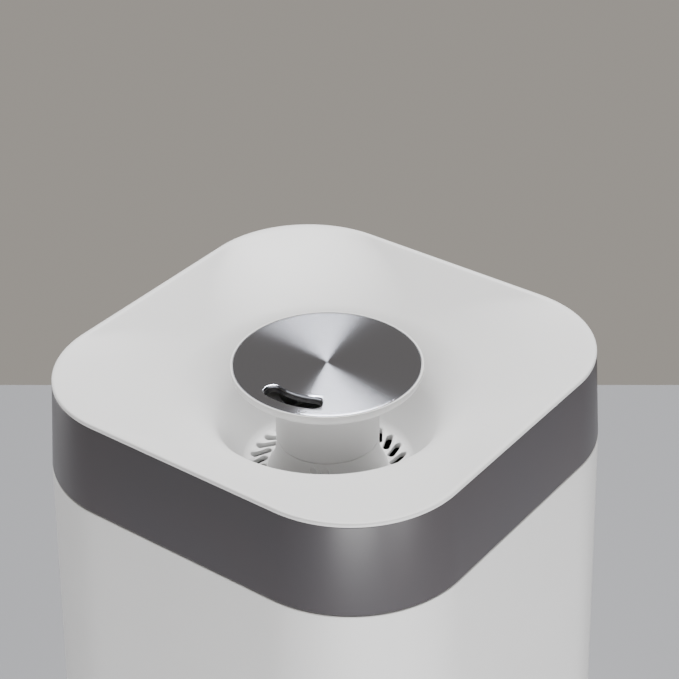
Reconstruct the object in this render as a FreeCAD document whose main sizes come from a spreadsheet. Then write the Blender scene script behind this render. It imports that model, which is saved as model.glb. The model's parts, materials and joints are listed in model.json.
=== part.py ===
"""Cool mist humidifier: a square top-fill tank in a housing, a bowl-shaped tray and a turning nozzle.

Millimetres, +Z up, front towards -Y.  The origin is at the middle of the plane the feet stand on.
Levels in the base are counted up from that plane, levels of the tank and tray down from the rim.
"""
import FreeCAD, Part
import math
import os
import Sketcher

DRIVING_SIZES = {
    # overall shape
    "total_height": 300, "rim_half_width": 102, "rim_corner_radius": 52.5,
    "band_height": 43, "band_spread": 3.3, "housing_spread": 7.7,
    "housing_wall": 3, "fit_gap": 0.4, "shaft_gap": 0.05,
    # levels in the base
    "foot_height": 4, "foot_radius": 9, "foot_inset": 34,
    "cover_thickness": 3.5, "deck_level": 100, "deck_thickness": 3, "ledge_height": 4, "ledge_width": 5,
    "tower_inset": 22, "tower_radius": 5,
    "pool_gap": 0.5, "pool_corner": 10, "pool_wall": 2.5, "pool_depth": 25,
    # water tank
    "tank_wall": 2.5, "tank_floor": 3, "tank_side_gap": 1.5, "band_wall": 2.4,
    "chimney_bore": 22.8, "chimney_wall": 2.2,
    # outlet valve of the tank
    "valve_port": 14, "valve_flange": 17, "valve_plate": 2.8, "valve_gasket": 1,
    "stem_radius": 1.5, "stem_reach": 11, "seal_radius": 9, "seal_thickness": 2,
    "flow_hole": 1.6, "flow_circle": 5.6, "spring_wire": 0.4, "spring_turns": 5,
    # tray
    "lip_height": 1.8, "lip_edge": 2.2, "tray_wall": 2.5, "well_depth": 59.5, "well_floor_radius": 38.3,
    "well_angle": 66, "slope_angle": 26, "bell_radius": 40, "well_roundness": 0.985,
    "skirt_depth": 10, "skirt_wall": 2, "seal_height": 3, "seal_bulge": 1.3,
    "slot_count": 30, "slot_width": 3.3, "slot_inner": 28.5, "slot_outer": 37.2, "slot_swirl": 9.5,
    # mist nozzle
    "column_radius": 23.7, "column_wall": 2.5, "collar_height": 17, "collar_foot": 28,
    "collar_skirt": 11, "spigot_height": 7, "spigot_wall": 2, "spigot_gap": 0.5, "seam_gap": 0.3,
    "disc_radius": 42.3, "disc_thickness": 1.5, "disc_drop": 3.1, "disc_gap": 0.3, "cap_rim": 1,
    "cap_rim_height": 5.2, "cap_plate": 2.2, "cap_cone_height": 11,
    "kidney_radius": 32.5, "kidney_half_width": 4.5, "kidney_half_angle": 17.5, "kidney_turn": -82,
    # ultrasonic transducer
    "pulse_port": 9.5, "pulse_disc": 12.5, "pulse_disc_thickness": 1.2, "pulse_seal": 13.8,
    "pulse_boss": 19, "pulse_boss_height": 3.5, "clamp_thickness": 2, "clamp_screw_circle": 16.4,
    "small_screw": 1.25, "small_head": 2.3,
    # level float
    "float_offset": -42, "post_radius": 2.5, "post_height": 20, "float_radius": 10, "float_height": 8,
    "float_rest": 3, "float_gap": 0.4, "float_travel": 6, "magnet_radius": 6, "clip_radius": 5,
    "clip_height": 1.5,
    # blower and its duct
    "duct_offset": 42, "duct_bore": 9, "duct_wall": 2, "duct_rise": 20,
    "blower_half_width": 30, "blower_corner": 8, "blower_base": 14, "blower_height": 22, "blower_wall": 2,
    "blower_cavity": 26.5, "blower_inlet": 14, "impeller_radius": 24, "blade_count": 24, "blade_depth": 6,
    "blade_thickness": 0.9, "motor_radius": 8, "motor_height": 12, "motor_shaft": 1.5, "hub_gap": 1,
    "blower_screw": 1.4, "blower_screw_offset": 25, "filter_half_width": 21,
    "grille_slot": 2.4, "grille_pitch": 4.4, "grille_count": 7, "grille_half_length": 14,
    # driver board
    "board_offset": 42, "board_half_length": 28, "board_half_width": 22, "board_thickness": 1.6,
    "board_level": 20, "board_post": 3, "board_screw_x": 24, "board_screw_y": 18,
    "sink_half_length": 18, "sink_half_width": 15, "sink_base": 3, "fin_height": 13, "fin_thickness": 1.5,
    "fin_count": 7,
    # control dial and indicator
    "dial_level": 45, "dial_cup": 20, "cup_wall": 2, "cup_depth": 9.5, "cup_set_back": 0.8,
    "cup_flange": 3, "knob_radius": 14, "knob_length": 8, "dial_shaft": 3, "sensor_half_width": 9,
    "sensor_depth": 11, "panel_half_width": 32, "panel_half_height": 20, "lens_radius": 2.5,
    "lens_level": 78, "lens_length": 7,
    # power inlet
    "inlet_level": 18, "inlet_offset": 40, "inlet_half_width": 7, "inlet_length": 16, "inlet_nose": 5.6,
    "inlet_bore": 3.2, "inlet_depth": 9, "inlet_pin": 1,
    # case screws
    "case_screw": 1.75, "case_head": 4, "case_head_height": 1.8, "case_screw_length": 16,
}

document = FreeCAD.newDocument("Humidifier")
sub_parts = []


class Size:
    """A number together with the spreadsheet expression that gives it."""

    def __init__(self, text, value):
        self.text = text
        self.value = float(value)

    def __add__(self, other):
        other = as_size(other)
        return Size(f"({self.text} + {other.text})", self.value + other.value)

    def __sub__(self, other):
        other = as_size(other)
        return Size(f"({self.text} - {other.text})", self.value - other.value)

    def __mul__(self, other):
        other = as_size(other)
        return Size(f"({self.text} * {other.text})", self.value * other.value)

    def __truediv__(self, other):
        other = as_size(other)
        return Size(f"({self.text} / {other.text})", self.value / other.value)

    def __neg__(self):
        return self * -1

    def turn_ratio(self, function):
        """The sine, cosine or tangent of a size that holds degrees."""
        number = {"sin": math.sin, "cos": math.cos, "tan": math.tan}[function](math.radians(self.value))
        return Size(f"{function}({self.text} * 1 deg)", number)

    def __radd__(self, other):
        return as_size(other) + self

    def __rsub__(self, other):
        return as_size(other) - self

    def __rmul__(self, other):
        return as_size(other) * self


def as_size(item):
    return item if isinstance(item, Size) else Size(repr(item), item)


class SizeSheet:
    """The spreadsheet of driving dimensions; an attribute gives the Size in that cell."""

    def __init__(self, sizes):
        self.sheet = document.addObject("Spreadsheet::Sheet", "Sizes")
        for row, (alias, number) in enumerate(sizes.items(), start=1):
            self.sheet.set(f"A{row}", alias.replace("_", " "))
            self.sheet.set(f"B{row}", str(number))
            self.sheet.setAlias(f"B{row}", alias)
        self.rows = len(sizes)
        document.recompute()

    def __getattr__(self, alias):
        return Size(f"Sizes.{alias}", getattr(self.sheet, alias))

    def derive(self, alias, size):
        """Keep a worked-out size in a cell of its own, so that expressions on it stay short."""
        self.rows += 1
        self.sheet.set(f"A{self.rows}", alias.replace("_", " "))
        self.sheet.set(f"B{self.rows}", "=" + size.text.replace("Sizes.", ""))
        self.sheet.setAlias(f"B{self.rows}", alias)
        document.recompute()
        return getattr(self, alias)


S = SizeSheet(DRIVING_SIZES)


# ---- building helpers ---------------------------------------------------------------------------

def bind(item, **properties):
    """Bind properties to sizes; a double underscore in a name stands for a dot."""
    for name, size in properties.items():
        item.setExpression(name.replace("__", "."), as_size(size).text)


def place(item, x=0, y=0, z=0):
    bind(item, Placement__Base__x=x, Placement__Base__y=y, Placement__Base__z=z)
    return item


def keep(item, label):
    """Mark a finished object as the sub-part with this name."""
    item.Label = label
    sub_parts.append(item)
    return item


def new_body(label):
    body = document.addObject("PartDesign::Body", label.title().replace("_", ""))
    return keep(body, label)


def new_sketch(body, level=0, plane="XY_Plane"):
    """A sketch on one of the body's origin planes, moved along that plane's normal by level."""
    sketch = body.newObject("Sketcher::SketchObject", "Sketch")
    origin_plane = [item for item in body.Origin.OriginFeatures if item.Role == plane][0]
    sketch.AttachmentSupport = (origin_plane, "")
    sketch.MapMode = "FlatFace"
    bind(sketch, AttachmentOffset__Base__z=level)
    return sketch


def fix_distance(sketch, kind, geometry, point, size):
    """Hold a point at a signed distance from the sketch's origin."""
    size = as_size(size)
    if size.value == 0:
        axis = -2 if kind == "DistanceX" else -1
        sketch.addConstraint(Sketcher.Constraint("PointOnObject", geometry, point, axis))
        return
    if size.value > 0:
        constraint = Sketcher.Constraint(kind, -1, 1, geometry, point, size.value)
    else:
        constraint = Sketcher.Constraint(kind, geometry, point, -1, 1, -size.value)
        size = -size
    index = sketch.addConstraint(constraint)
    sketch.setExpression(f"Constraints[{index}]", size.text)


def fix_point(sketch, geometry, point, x, y):
    fix_distance(sketch, "DistanceX", geometry, point, x)
    fix_distance(sketch, "DistanceY", geometry, point, y)


def fix_radius(sketch, geometry, radius):
    index = sketch.addConstraint(Sketcher.Constraint("Radius", geometry, radius.value))
    sketch.setExpression(f"Constraints[{index}]", radius.text)


def draw_circle(sketch, radius, x=0, y=0):
    radius, x, y = as_size(radius), as_size(x), as_size(y)
    centre = FreeCAD.Vector(x.value, y.value, 0)
    index = sketch.addGeometry(Part.Circle(centre, FreeCAD.Vector(0, 0, 1), radius.value), False)
    fix_point(sketch, index, 3, x, y)
    fix_radius(sketch, index, radius)


def draw_outline(sketch, corners, arcs=None):
    """A closed outline through (x, y) corners.

    arcs maps the index of a stretch to (radius, side): the stretch from that corner to the next
    is then an arc whose centre lies on the left (side 1) or right (side -1) of the way along it.
    """
    arcs = arcs or {}
    corners = [(as_size(x), as_size(y)) for x, y in corners]
    points = [FreeCAD.Vector(x.value, y.value, 0) for x, y in corners]
    ends = []
    for number, start in enumerate(points):
        finish = points[(number + 1) % len(points)]
        if number in arcs:
            radius, side = as_size(arcs[number][0]), arcs[number][1]
            along = finish - start
            reach = math.sqrt(max(radius.value ** 2 - along.Length ** 2 / 4, 0))
            across = FreeCAD.Vector(-along.y, along.x, 0).normalize() * (side * reach)
            centre = (start + finish) * 0.5 + across
            first, last = (start, finish) if side > 0 else (finish, start)
            angles = [math.atan2(spot.y - centre.y, spot.x - centre.x) for spot in (first, last)]
            circle = Part.Circle(centre, FreeCAD.Vector(0, 0, 1), radius.value)
            index = sketch.addGeometry(Part.ArcOfCircle(circle, angles[0], angles[1]), False)
            ends.append((index, 1, 2) if side > 0 else (index, 2, 1))
        else:
            index = sketch.addGeometry(Part.LineSegment(start, finish), False)
            ends.append((index, 1, 2))
    for number, (index, start, finish) in enumerate(ends):
        following = ends[(number + 1) % len(ends)]
        sketch.addConstraint(Sketcher.Constraint("Coincident", index, finish, following[0], following[1]))
        fix_point(sketch, index, start, *corners[number])
        if number in arcs:
            fix_radius(sketch, index, as_size(arcs[number][0]))


def draw_rectangle(sketch, half_x, half_y, x=0, y=0):
    x, y = as_size(x), as_size(y)
    draw_outline(sketch, [(x - half_x, y - half_y), (x + half_x, y - half_y),
                          (x + half_x, y + half_y), (x - half_x, y + half_y)])


def draw_rounded(sketch, half_width, corner, x=0, y=0):
    """A square with rounded corners, centred on (x, y)."""
    x, y = as_size(x), as_size(y)
    half, straight = as_size(half_width), as_size(half_width) - corner
    corners = [(x - straight, y - half), (x + straight, y - half), (x + half, y - straight),
               (x + half, y + straight), (x + straight, y + half), (x - straight, y + half),
               (x - half, y + straight), (x - half, y - straight)]
    draw_outline(sketch, corners, {number: (corner, 1) for number in (1, 3, 5, 7)})


def body_outline(sketch, half_width):
    """The object's own rounded square: every outline keeps the rim's corner centres."""
    draw_rounded(sketch, half_width, half_width - (S.rim_half_width - S.rim_corner_radius))


def volume_of(body):
    document.recompute()
    return body.Shape.Volume


def pad(body, sketch, length, backwards=False):
    feature = body.newObject("PartDesign::Pad", "Pad")
    feature.Profile = sketch
    feature.Reversed = backwards
    bind(feature, Length=length)
    return feature


def pocket(body, sketch, length, backwards=False):
    """Cut away from a sketch, against its normal; an empty cut is an error."""
    before = volume_of(body)
    feature = body.newObject("PartDesign::Pocket", "Pocket")
    feature.Profile = sketch
    feature.Reversed = backwards
    bind(feature, Length=length)
    if volume_of(body) >= before - 0.01:
        raise RuntimeError(f"{body.Label}: a pocket removed nothing")
    return feature


def loft(body, sketches, cut=False, ruled=True):
    kind = "PartDesign::SubtractiveLoft" if cut else "PartDesign::AdditiveLoft"
    feature = body.newObject(kind, "Loft")
    feature.Profile = sketches[0]
    feature.Sections = sketches[1:]
    feature.Ruled = ruled
    return feature


def repeat_around(body, features, count):
    """Repeat features evenly around the body's own Z axis."""
    document.recompute()
    pattern = body.newObject("PartDesign::PolarPattern", "Around")
    pattern.Originals = features
    pattern.Axis = ([item for item in body.Origin.OriginFeatures if item.Role == "Z_Axis"][0], [""])
    pattern.Angle = 360
    bind(pattern, Occurrences=count)
    body.Tip = pattern
    return pattern


def repeat_along(body, features, axis, length, count):
    document.recompute()
    pattern = body.newObject("PartDesign::LinearPattern", "Along")
    pattern.Originals = features
    pattern.Direction = ([item for item in body.Origin.OriginFeatures if item.Role == axis][0], [""])
    bind(pattern, Length=length, Occurrences=count)
    body.Tip = pattern
    return pattern


def revolve(body, corners, arcs=None):
    """Turn an outline of (radius, level) corners about the body's Z axis."""
    sketch = new_sketch(body, plane="XZ_Plane")
    draw_outline(sketch, corners, arcs)
    feature = body.newObject("PartDesign::Revolution", "Turned")
    feature.Profile = sketch
    feature.ReferenceAxis = (sketch, ["V_Axis"])
    feature.Angle = 360
    return feature


def turned(label, corners, arcs=None, x=0, y=0):
    body = new_body(label)
    revolve(body, corners, arcs)
    place(body, x, y)
    return body


def ring_corners(bore, outside, low, high):
    return [(bore, low), (outside, low), (outside, high), (bore, high)]


def face_forward(body, x=0, z=0, back=False):
    """Lay a part turned about Z down: its Z axis then points to the front, or to the back."""
    turn = FreeCAD.Rotation(FreeCAD.Vector(1, 0, 0), -90 if back else 90)
    body.Placement = FreeCAD.Placement(FreeCAD.Vector(0, 0, 0), turn)
    bind(body, Placement__Base__x=x, Placement__Base__z=z)
    return body


def screw_corners(shank, head, seat, head_height, length):
    """A screw pointing up, with its head below the seat level."""
    return [(0, seat - head_height), (head, seat - head_height), (head, seat), (shank, seat),
            (shank, seat + length), (0, seat + length)]


def hanging_screw_corners(shank, head, seat, head_height, length):
    """A screw pointing down, with its head above the seat level."""
    return [(0, seat - length), (shank, seat - length), (shank, seat), (head, seat),
            (head, seat + head_height), (0, seat + head_height)]


def screw_group(label, corners, spots):
    """Copies of one turned screw at (x, y) spots, as one node of separate solids."""
    copies = []
    for x, y in spots:
        body = document.addObject("PartDesign::Body", "Screw")
        revolve(body, corners)
        copies.append(place(body, x, y))
    group = document.addObject("Part::Compound", label.title().replace("_", ""))
    group.Links = copies
    return keep(group, label)


# ---- levels and widths that several pieces share ------------------------------------------------

RIM = S.total_height
TANK_TOP = RIM - S.lip_height
BAND_FOOT = TANK_TOP - S.band_height
BAND_FOOT_HALF = S.rim_half_width + S.band_spread
HOUSING_TOP = BAND_FOOT - S.fit_gap
HOUSING_FOOT_HALF = BAND_FOOT_HALF + S.housing_spread
COVER_TOP = S.foot_height + S.cover_thickness
TANK_HALF = BAND_FOOT_HALF - S.housing_wall - S.tank_side_gap
POOL_FLOOR = S.deck_level - S.pool_depth
POOL_UNDERSIDE = POOL_FLOOR - S.pool_wall
WELL_FLOOR = RIM - S.well_depth
WELL_UNDERSIDE = WELL_FLOOR - S.tray_wall
TOWER = S.rim_half_width - S.tower_inset
TOWER_SPOTS = [(TOWER, TOWER), (-TOWER, TOWER), (-TOWER, -TOWER), (TOWER, -TOWER)]
DISC_TOP = RIM - S.disc_drop
PLATE_TOP = DISC_TOP - S.disc_thickness
PLATE_UNDERSIDE = PLATE_TOP - S.cap_plate
CAP_RADIUS = S.disc_radius + S.disc_gap + S.cap_rim
COLLAR_TOP = WELL_FLOOR + S.collar_height
CHIMNEY_OUTSIDE = S.chimney_bore + S.chimney_wall
CHIMNEY_TOP = WELL_UNDERSIDE - S.seal_height
VALVE_OFFSET = CHIMNEY_OUTSIDE + S.valve_flange
POOL_HALF = VALVE_OFFSET + S.valve_flange + S.pool_gap
COLUMN_BORE = S.column_radius - S.column_wall
SPIGOT_RADIUS = COLUMN_BORE - S.spigot_gap
COLLAR_BORE = SPIGOT_RADIUS - S.spigot_wall
BLOWER_X = -(TOWER - S.tower_radius - S.blower_half_width - S.cover_thickness)
BLOWER_FLOOR = S.blower_base + S.blower_wall
BLOWER_TOP = S.blower_base + S.blower_height
PAST_THE_WALL = HOUSING_FOOT_HALF * 1.1

# A slot's round end has a radius a hair over half the slot's width, so that its arc has a centre.
HALF_CIRCLE = 1.0001


def half_width_at(level):
    """Half width of the drafted housing's outside at a level."""
    share = (as_size(level) - S.foot_height) / (HOUSING_TOP - S.foot_height)
    return HOUSING_FOOT_HALF - share * S.housing_spread


CUP_FRONT = half_width_at(S.dial_level + S.dial_cup + S.cup_wall) - S.cup_set_back


# ---- housing and bottom -------------------------------------------------------------------------

def make_outer_housing():
    body = new_body("outer_housing")
    foot, top = new_sketch(body, S.foot_height), new_sketch(body, HOUSING_TOP)
    body_outline(foot, HOUSING_FOOT_HALF)
    body_outline(top, BAND_FOOT_HALF)
    loft(body, [foot, top])
    inner_foot, inner_top = new_sketch(body, S.foot_height), new_sketch(body, HOUSING_TOP)
    body_outline(inner_foot, HOUSING_FOOT_HALF - S.housing_wall)
    body_outline(inner_top, BAND_FOOT_HALF - S.housing_wall)
    loft(body, [inner_foot, inner_top], cut=True)
    ledge_foot = S.deck_level - S.deck_thickness - S.ledge_height
    ledge = new_sketch(body, ledge_foot)
    ledge_half = half_width_at(ledge_foot) - S.housing_wall
    body_outline(ledge, ledge_half + S.housing_wall / 2)
    body_outline(ledge, ledge_half - S.ledge_width)
    pad(body, ledge, S.ledge_height)
    front = new_sketch(body, plane="XZ_Plane")
    draw_circle(front, S.dial_cup + S.cup_wall + S.fit_gap / 2, 0, S.dial_level)
    draw_circle(front, S.lens_radius + S.shaft_gap, 0, S.lens_level)
    pocket(body, front, PAST_THE_WALL, backwards=True)
    rear = new_sketch(body, plane="XZ_Plane")
    draw_circle(rear, S.inlet_nose + S.fit_gap / 2, S.inlet_offset, S.inlet_level)
    pocket(body, rear, PAST_THE_WALL)


def make_bottom_cover():
    body = new_body("bottom_cover")
    plate = new_sketch(body, S.foot_height)
    body_outline(plate, half_width_at(COVER_TOP) - S.housing_wall - S.fit_gap)
    pad(body, plate, S.cover_thickness)
    posts = new_sketch(body, COVER_TOP)
    for dx in (-1, 1):
        for dy in (-1, 1):
            draw_circle(posts, S.tower_radius, BLOWER_X + S.blower_screw_offset * dx,
                        S.duct_offset + S.blower_screw_offset * dy)
    pad(body, posts, S.blower_base - COVER_TOP)
    board_posts = new_sketch(body, COVER_TOP)
    for dx in (-1, 1):
        for dy in (-1, 1):
            draw_circle(board_posts, S.board_post, S.board_offset + S.board_screw_x * dx,
                        S.board_offset + S.board_screw_y * dy)
    pad(body, board_posts, S.board_level - COVER_TOP)
    inlet_step = new_sketch(body, COVER_TOP)
    inlet_back = half_width_at(S.inlet_level) - S.housing_wall - S.fit_gap
    draw_rectangle(inlet_step, S.inlet_half_width, S.inlet_length / 2, S.inlet_offset,
                   inlet_back - S.inlet_length / 2)
    pad(body, inlet_step, S.inlet_level - S.inlet_half_width - COVER_TOP)
    sinks = new_sketch(body, S.foot_height + S.case_head_height + S.fit_gap / 2)
    holes = new_sketch(body, COVER_TOP)
    for x, y in TOWER_SPOTS:
        draw_circle(sinks, S.case_head + S.fit_gap, x, y)
        draw_circle(holes, S.case_screw + S.fit_gap, x, y)
    pocket(body, sinks, S.cover_thickness)
    pocket(body, holes, S.cover_thickness)
    threads = new_sketch(body, S.blower_base)
    for dx in (-1, 1):
        for dy in (-1, 1):
            draw_circle(threads, S.blower_screw + S.shaft_gap, BLOWER_X + S.blower_screw_offset * dx,
                        S.duct_offset + S.blower_screw_offset * dy)
    pocket(body, threads, S.blower_base - COVER_TOP)
    board_threads = new_sketch(body, S.board_level)
    for dx in (-1, 1):
        for dy in (-1, 1):
            draw_circle(board_threads, S.small_screw + S.shaft_gap,
                        S.board_offset + S.board_screw_x * dx, S.board_offset + S.board_screw_y * dy)
    pocket(body, board_threads, S.board_level - COVER_TOP)
    grille = new_sketch(body, COVER_TOP)
    first = BLOWER_X - S.grille_pitch * (S.grille_count - 1) / 2
    draw_rectangle(grille, S.grille_slot / 2, S.grille_half_length, first, S.duct_offset)
    slot = pocket(body, grille, S.cover_thickness)
    repeat_along(body, [slot], "X_Axis", S.grille_pitch * (S.grille_count - 1), S.grille_count)


def make_rubber_feet():
    spread = S.rim_half_width - S.foot_inset
    edge = S.foot_height / 4
    profile = [(0, 0), (S.foot_radius - edge, 0), (S.foot_radius, edge), (S.foot_radius, S.foot_height),
               (0, S.foot_height)]
    screw_group("rubber_feet", profile, [(spread, spread), (-spread, spread), (-spread, -spread),
                                         (spread, -spread)])


def make_cover_screws():
    seat = S.foot_height + S.case_head_height + S.fit_gap / 2
    corners = screw_corners(S.case_screw, S.case_head, seat, S.case_head_height, S.case_screw_length)
    screw_group("cover_screws", corners, TOWER_SPOTS)


def make_basin():
    body = new_body("basin")
    deck_foot = S.deck_level - S.deck_thickness
    deck = new_sketch(body, deck_foot)
    body_outline(deck, half_width_at(S.deck_level) - S.housing_wall - S.fit_gap)
    pad(body, deck, S.deck_thickness)
    outside = new_sketch(body, POOL_UNDERSIDE)
    draw_rounded(outside, POOL_HALF + S.pool_wall, S.pool_corner + S.pool_wall)
    pad(body, outside, deck_foot - POOL_UNDERSIDE)
    towers = new_sketch(body, COVER_TOP)
    for x, y in TOWER_SPOTS:
        draw_circle(towers, S.tower_radius, x, y)
    pad(body, towers, deck_foot - COVER_TOP)
    boss = new_sketch(body, POOL_UNDERSIDE)
    draw_circle(boss, S.pulse_boss)
    pad(body, boss, S.pulse_boss_height, backwards=True)
    hollow = new_sketch(body, S.deck_level)
    draw_rounded(hollow, POOL_HALF, S.pool_corner)
    pocket(body, hollow, S.pool_depth)
    inside = new_sketch(body, POOL_FLOOR)
    draw_circle(inside, S.duct_bore + S.duct_wall, 0, S.duct_offset)
    draw_circle(inside, S.post_radius, S.float_offset, 0)
    draw_circle(inside, S.stem_radius * 2, VALVE_OFFSET, 0)
    pin_height = (S.deck_level - S.valve_plate - S.valve_gasket - S.stem_reach - S.fit_gap) - POOL_FLOOR
    pad(body, inside, pin_height)
    upstand = new_sketch(body, POOL_FLOOR)
    draw_circle(upstand, S.duct_bore + S.duct_wall, 0, S.duct_offset)
    pad(body, upstand, S.duct_rise)
    post = new_sketch(body, POOL_FLOOR)
    draw_circle(post, S.post_radius, S.float_offset, 0)
    pad(body, post, S.post_height)
    duct = new_sketch(body, S.deck_level)
    draw_circle(duct, S.duct_bore, 0, S.duct_offset)
    pocket(body, duct, S.deck_level - POOL_UNDERSIDE)
    port = new_sketch(body, POOL_FLOOR)
    draw_circle(port, S.pulse_port)
    pocket(body, port, S.pool_wall)
    recess = new_sketch(body, POOL_UNDERSIDE)
    draw_circle(recess, S.pulse_seal)
    pocket(body, recess, S.pulse_boss_height)
    threads = new_sketch(body, POOL_UNDERSIDE)
    draw_circle(threads, S.small_screw + S.shaft_gap, S.clamp_screw_circle, 0)
    thread = pocket(body, threads, S.pulse_boss_height)
    repeat_around(body, [thread], 3)
    bores = new_sketch(body, COVER_TOP)
    for x, y in TOWER_SPOTS:
        draw_circle(bores, S.case_screw + S.shaft_gap, x, y)
    pocket(body, bores, S.case_screw_length, backwards=True)


# ---- transducer and level float -----------------------------------------------------------------

def make_transducer():
    seal_foot = POOL_UNDERSIDE - S.pulse_boss_height
    groove_foot = seal_foot + S.pulse_disc_thickness
    groove_top = groove_foot + S.pulse_disc_thickness
    reach, gap = S.pulse_disc, S.shaft_gap
    turned("transducer_seal", [(S.pulse_port, seal_foot), (S.pulse_seal - gap, seal_foot),
                               (S.pulse_seal - gap, POOL_UNDERSIDE), (S.pulse_port, POOL_UNDERSIDE),
                               (S.pulse_port, groove_top + gap), (reach + gap, groove_top + gap),
                               (reach + gap, groove_foot - gap), (S.pulse_port, groove_foot - gap)])
    turned("transducer_disc", [(0, groove_foot), (reach, groove_foot), (reach, groove_top),
                               (0, groove_top)])
    clamp = turned("transducer_clamp", ring_corners(S.pulse_port, S.pulse_boss,
                                                    seal_foot - S.clamp_thickness, seal_foot))
    holes = new_sketch(clamp, seal_foot)
    draw_circle(holes, S.small_screw + S.fit_gap / 2, S.clamp_screw_circle, 0)
    hole = pocket(clamp, holes, S.clamp_thickness)
    repeat_around(clamp, [hole], 3)
    circle = S.clamp_screw_circle
    turns = [math.radians(turn) for turn in (0, 120, 240)]
    spots = [(circle * math.cos(turn), circle * round(math.sin(turn), 12)) for turn in turns]
    corners = screw_corners(S.small_screw, S.small_head, seal_foot - S.clamp_thickness, S.small_screw,
                            S.clamp_thickness + S.pulse_boss_height - S.small_screw)
    screw_group("transducer_screws", corners, spots)


def make_level_float():
    low = POOL_FLOOR + S.float_rest
    high = low + S.float_height
    bore = S.post_radius + S.float_gap
    recess = low + S.float_height / 3
    turned("level_float", [(S.magnet_radius, low), (S.float_radius, low), (S.float_radius, high),
                           (bore, high), (bore, recess), (S.magnet_radius, recess)],
           x=S.float_offset)
    turned("float_magnet", ring_corners(bore, S.magnet_radius - S.shaft_gap, low, recess),
           x=S.float_offset)
    clip_foot = high + S.float_travel + S.fit_gap
    turned("float_clip", ring_corners(S.post_radius + S.shaft_gap, S.clip_radius, clip_foot,
                                      clip_foot + S.clip_height), x=S.float_offset)
    sensor = new_body("level_sensor")
    outline = new_sketch(sensor, POOL_UNDERSIDE)
    draw_rectangle(outline, S.clip_radius, S.clip_radius * 0.6, S.float_offset, 0)
    pad(sensor, outline, S.clip_radius, backwards=True)


# ---- blower -------------------------------------------------------------------------------------

def make_blower_case():
    body = new_body("blower_housing")
    outside = new_sketch(body, S.blower_base)
    draw_rounded(outside, S.blower_half_width, S.blower_corner)
    pad(body, outside, S.blower_height)
    cavity = new_sketch(body, BLOWER_TOP)
    draw_circle(cavity, S.blower_cavity)
    pocket(body, cavity, S.blower_height - S.blower_wall)
    inlet = new_sketch(body, BLOWER_FLOOR)
    draw_circle(inlet, S.blower_inlet)
    pocket(body, inlet, S.blower_wall)
    outlet = new_sketch(body, BLOWER_TOP - S.blower_wall * 2)
    draw_rectangle(outlet, S.duct_bore, S.duct_bore, S.blower_half_width - S.blower_wall, 0)
    pocket(body, outlet, S.blower_height - S.blower_wall * 3)
    bolts = new_sketch(body, BLOWER_TOP)
    for dx in (-1, 1):
        for dy in (-1, 1):
            draw_circle(bolts, S.blower_screw + S.fit_gap / 2, S.blower_screw_offset * dx,
                        S.blower_screw_offset * dy)
    pocket(body, bolts, S.blower_height)
    place(body, BLOWER_X, S.duct_offset)

    cover = new_body("blower_cover")
    plate = new_sketch(cover, BLOWER_TOP)
    draw_rounded(plate, S.blower_half_width, S.blower_corner)
    pad(cover, plate, S.blower_wall)
    cover_holes = new_sketch(cover, BLOWER_TOP + S.blower_wall)
    for dx in (-1, 1):
        for dy in (-1, 1):
            draw_circle(cover_holes, S.blower_screw + S.fit_gap / 2, S.blower_screw_offset * dx,
                        S.blower_screw_offset * dy)
    pocket(cover, cover_holes, S.blower_wall)
    place(cover, BLOWER_X, S.duct_offset)

    seat = BLOWER_TOP + S.blower_wall
    corners = hanging_screw_corners(S.blower_screw, S.small_head, seat, S.blower_screw,
                                    seat - COVER_TOP - S.fit_gap)
    offset = S.blower_screw_offset
    spots = [(BLOWER_X + offset * dx, S.duct_offset + offset * dy) for dx in (-1, 1) for dy in (-1, 1)]
    screw_group("blower_screws", corners, spots)


def make_blower_rotor():
    motor_foot = BLOWER_TOP - S.motor_height
    turned("blower_motor", ring_corners(S.motor_shaft + S.shaft_gap, S.motor_radius, motor_foot,
                                        BLOWER_TOP), x=BLOWER_X, y=S.duct_offset)
    plate_foot = BLOWER_FLOOR + S.blower_wall
    plate_top = plate_foot + S.blower_wall / 2
    turned("impeller_shaft", [(0, plate_foot - S.blower_wall / 2),
                              (S.motor_shaft, plate_foot - S.blower_wall / 2),
                              (S.motor_shaft, BLOWER_TOP - S.blower_wall), (0, BLOWER_TOP - S.blower_wall)],
           x=BLOWER_X, y=S.duct_offset)
    hub_bore = S.motor_radius + S.hub_gap
    hub_outside = hub_bore + S.blower_wall
    blade_top = BLOWER_TOP - S.blower_wall
    body = new_body("impeller")
    revolve(body, [(S.motor_shaft + S.shaft_gap, plate_foot), (S.impeller_radius, plate_foot),
                   (S.impeller_radius, plate_top), (hub_outside, plate_top), (hub_outside, blade_top),
                   (hub_bore, blade_top), (hub_bore, plate_top), (S.motor_shaft + S.shaft_gap, plate_top)])
    blade = new_sketch(body, plate_foot)
    draw_rectangle(blade, S.blade_depth / 2, S.blade_thickness / 2,
                   S.impeller_radius - S.blade_depth / 2, 0)
    blade_pad = pad(body, blade, blade_top - plate_foot)
    repeat_around(body, [blade_pad], S.blade_count)
    place(body, BLOWER_X, S.duct_offset)


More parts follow.
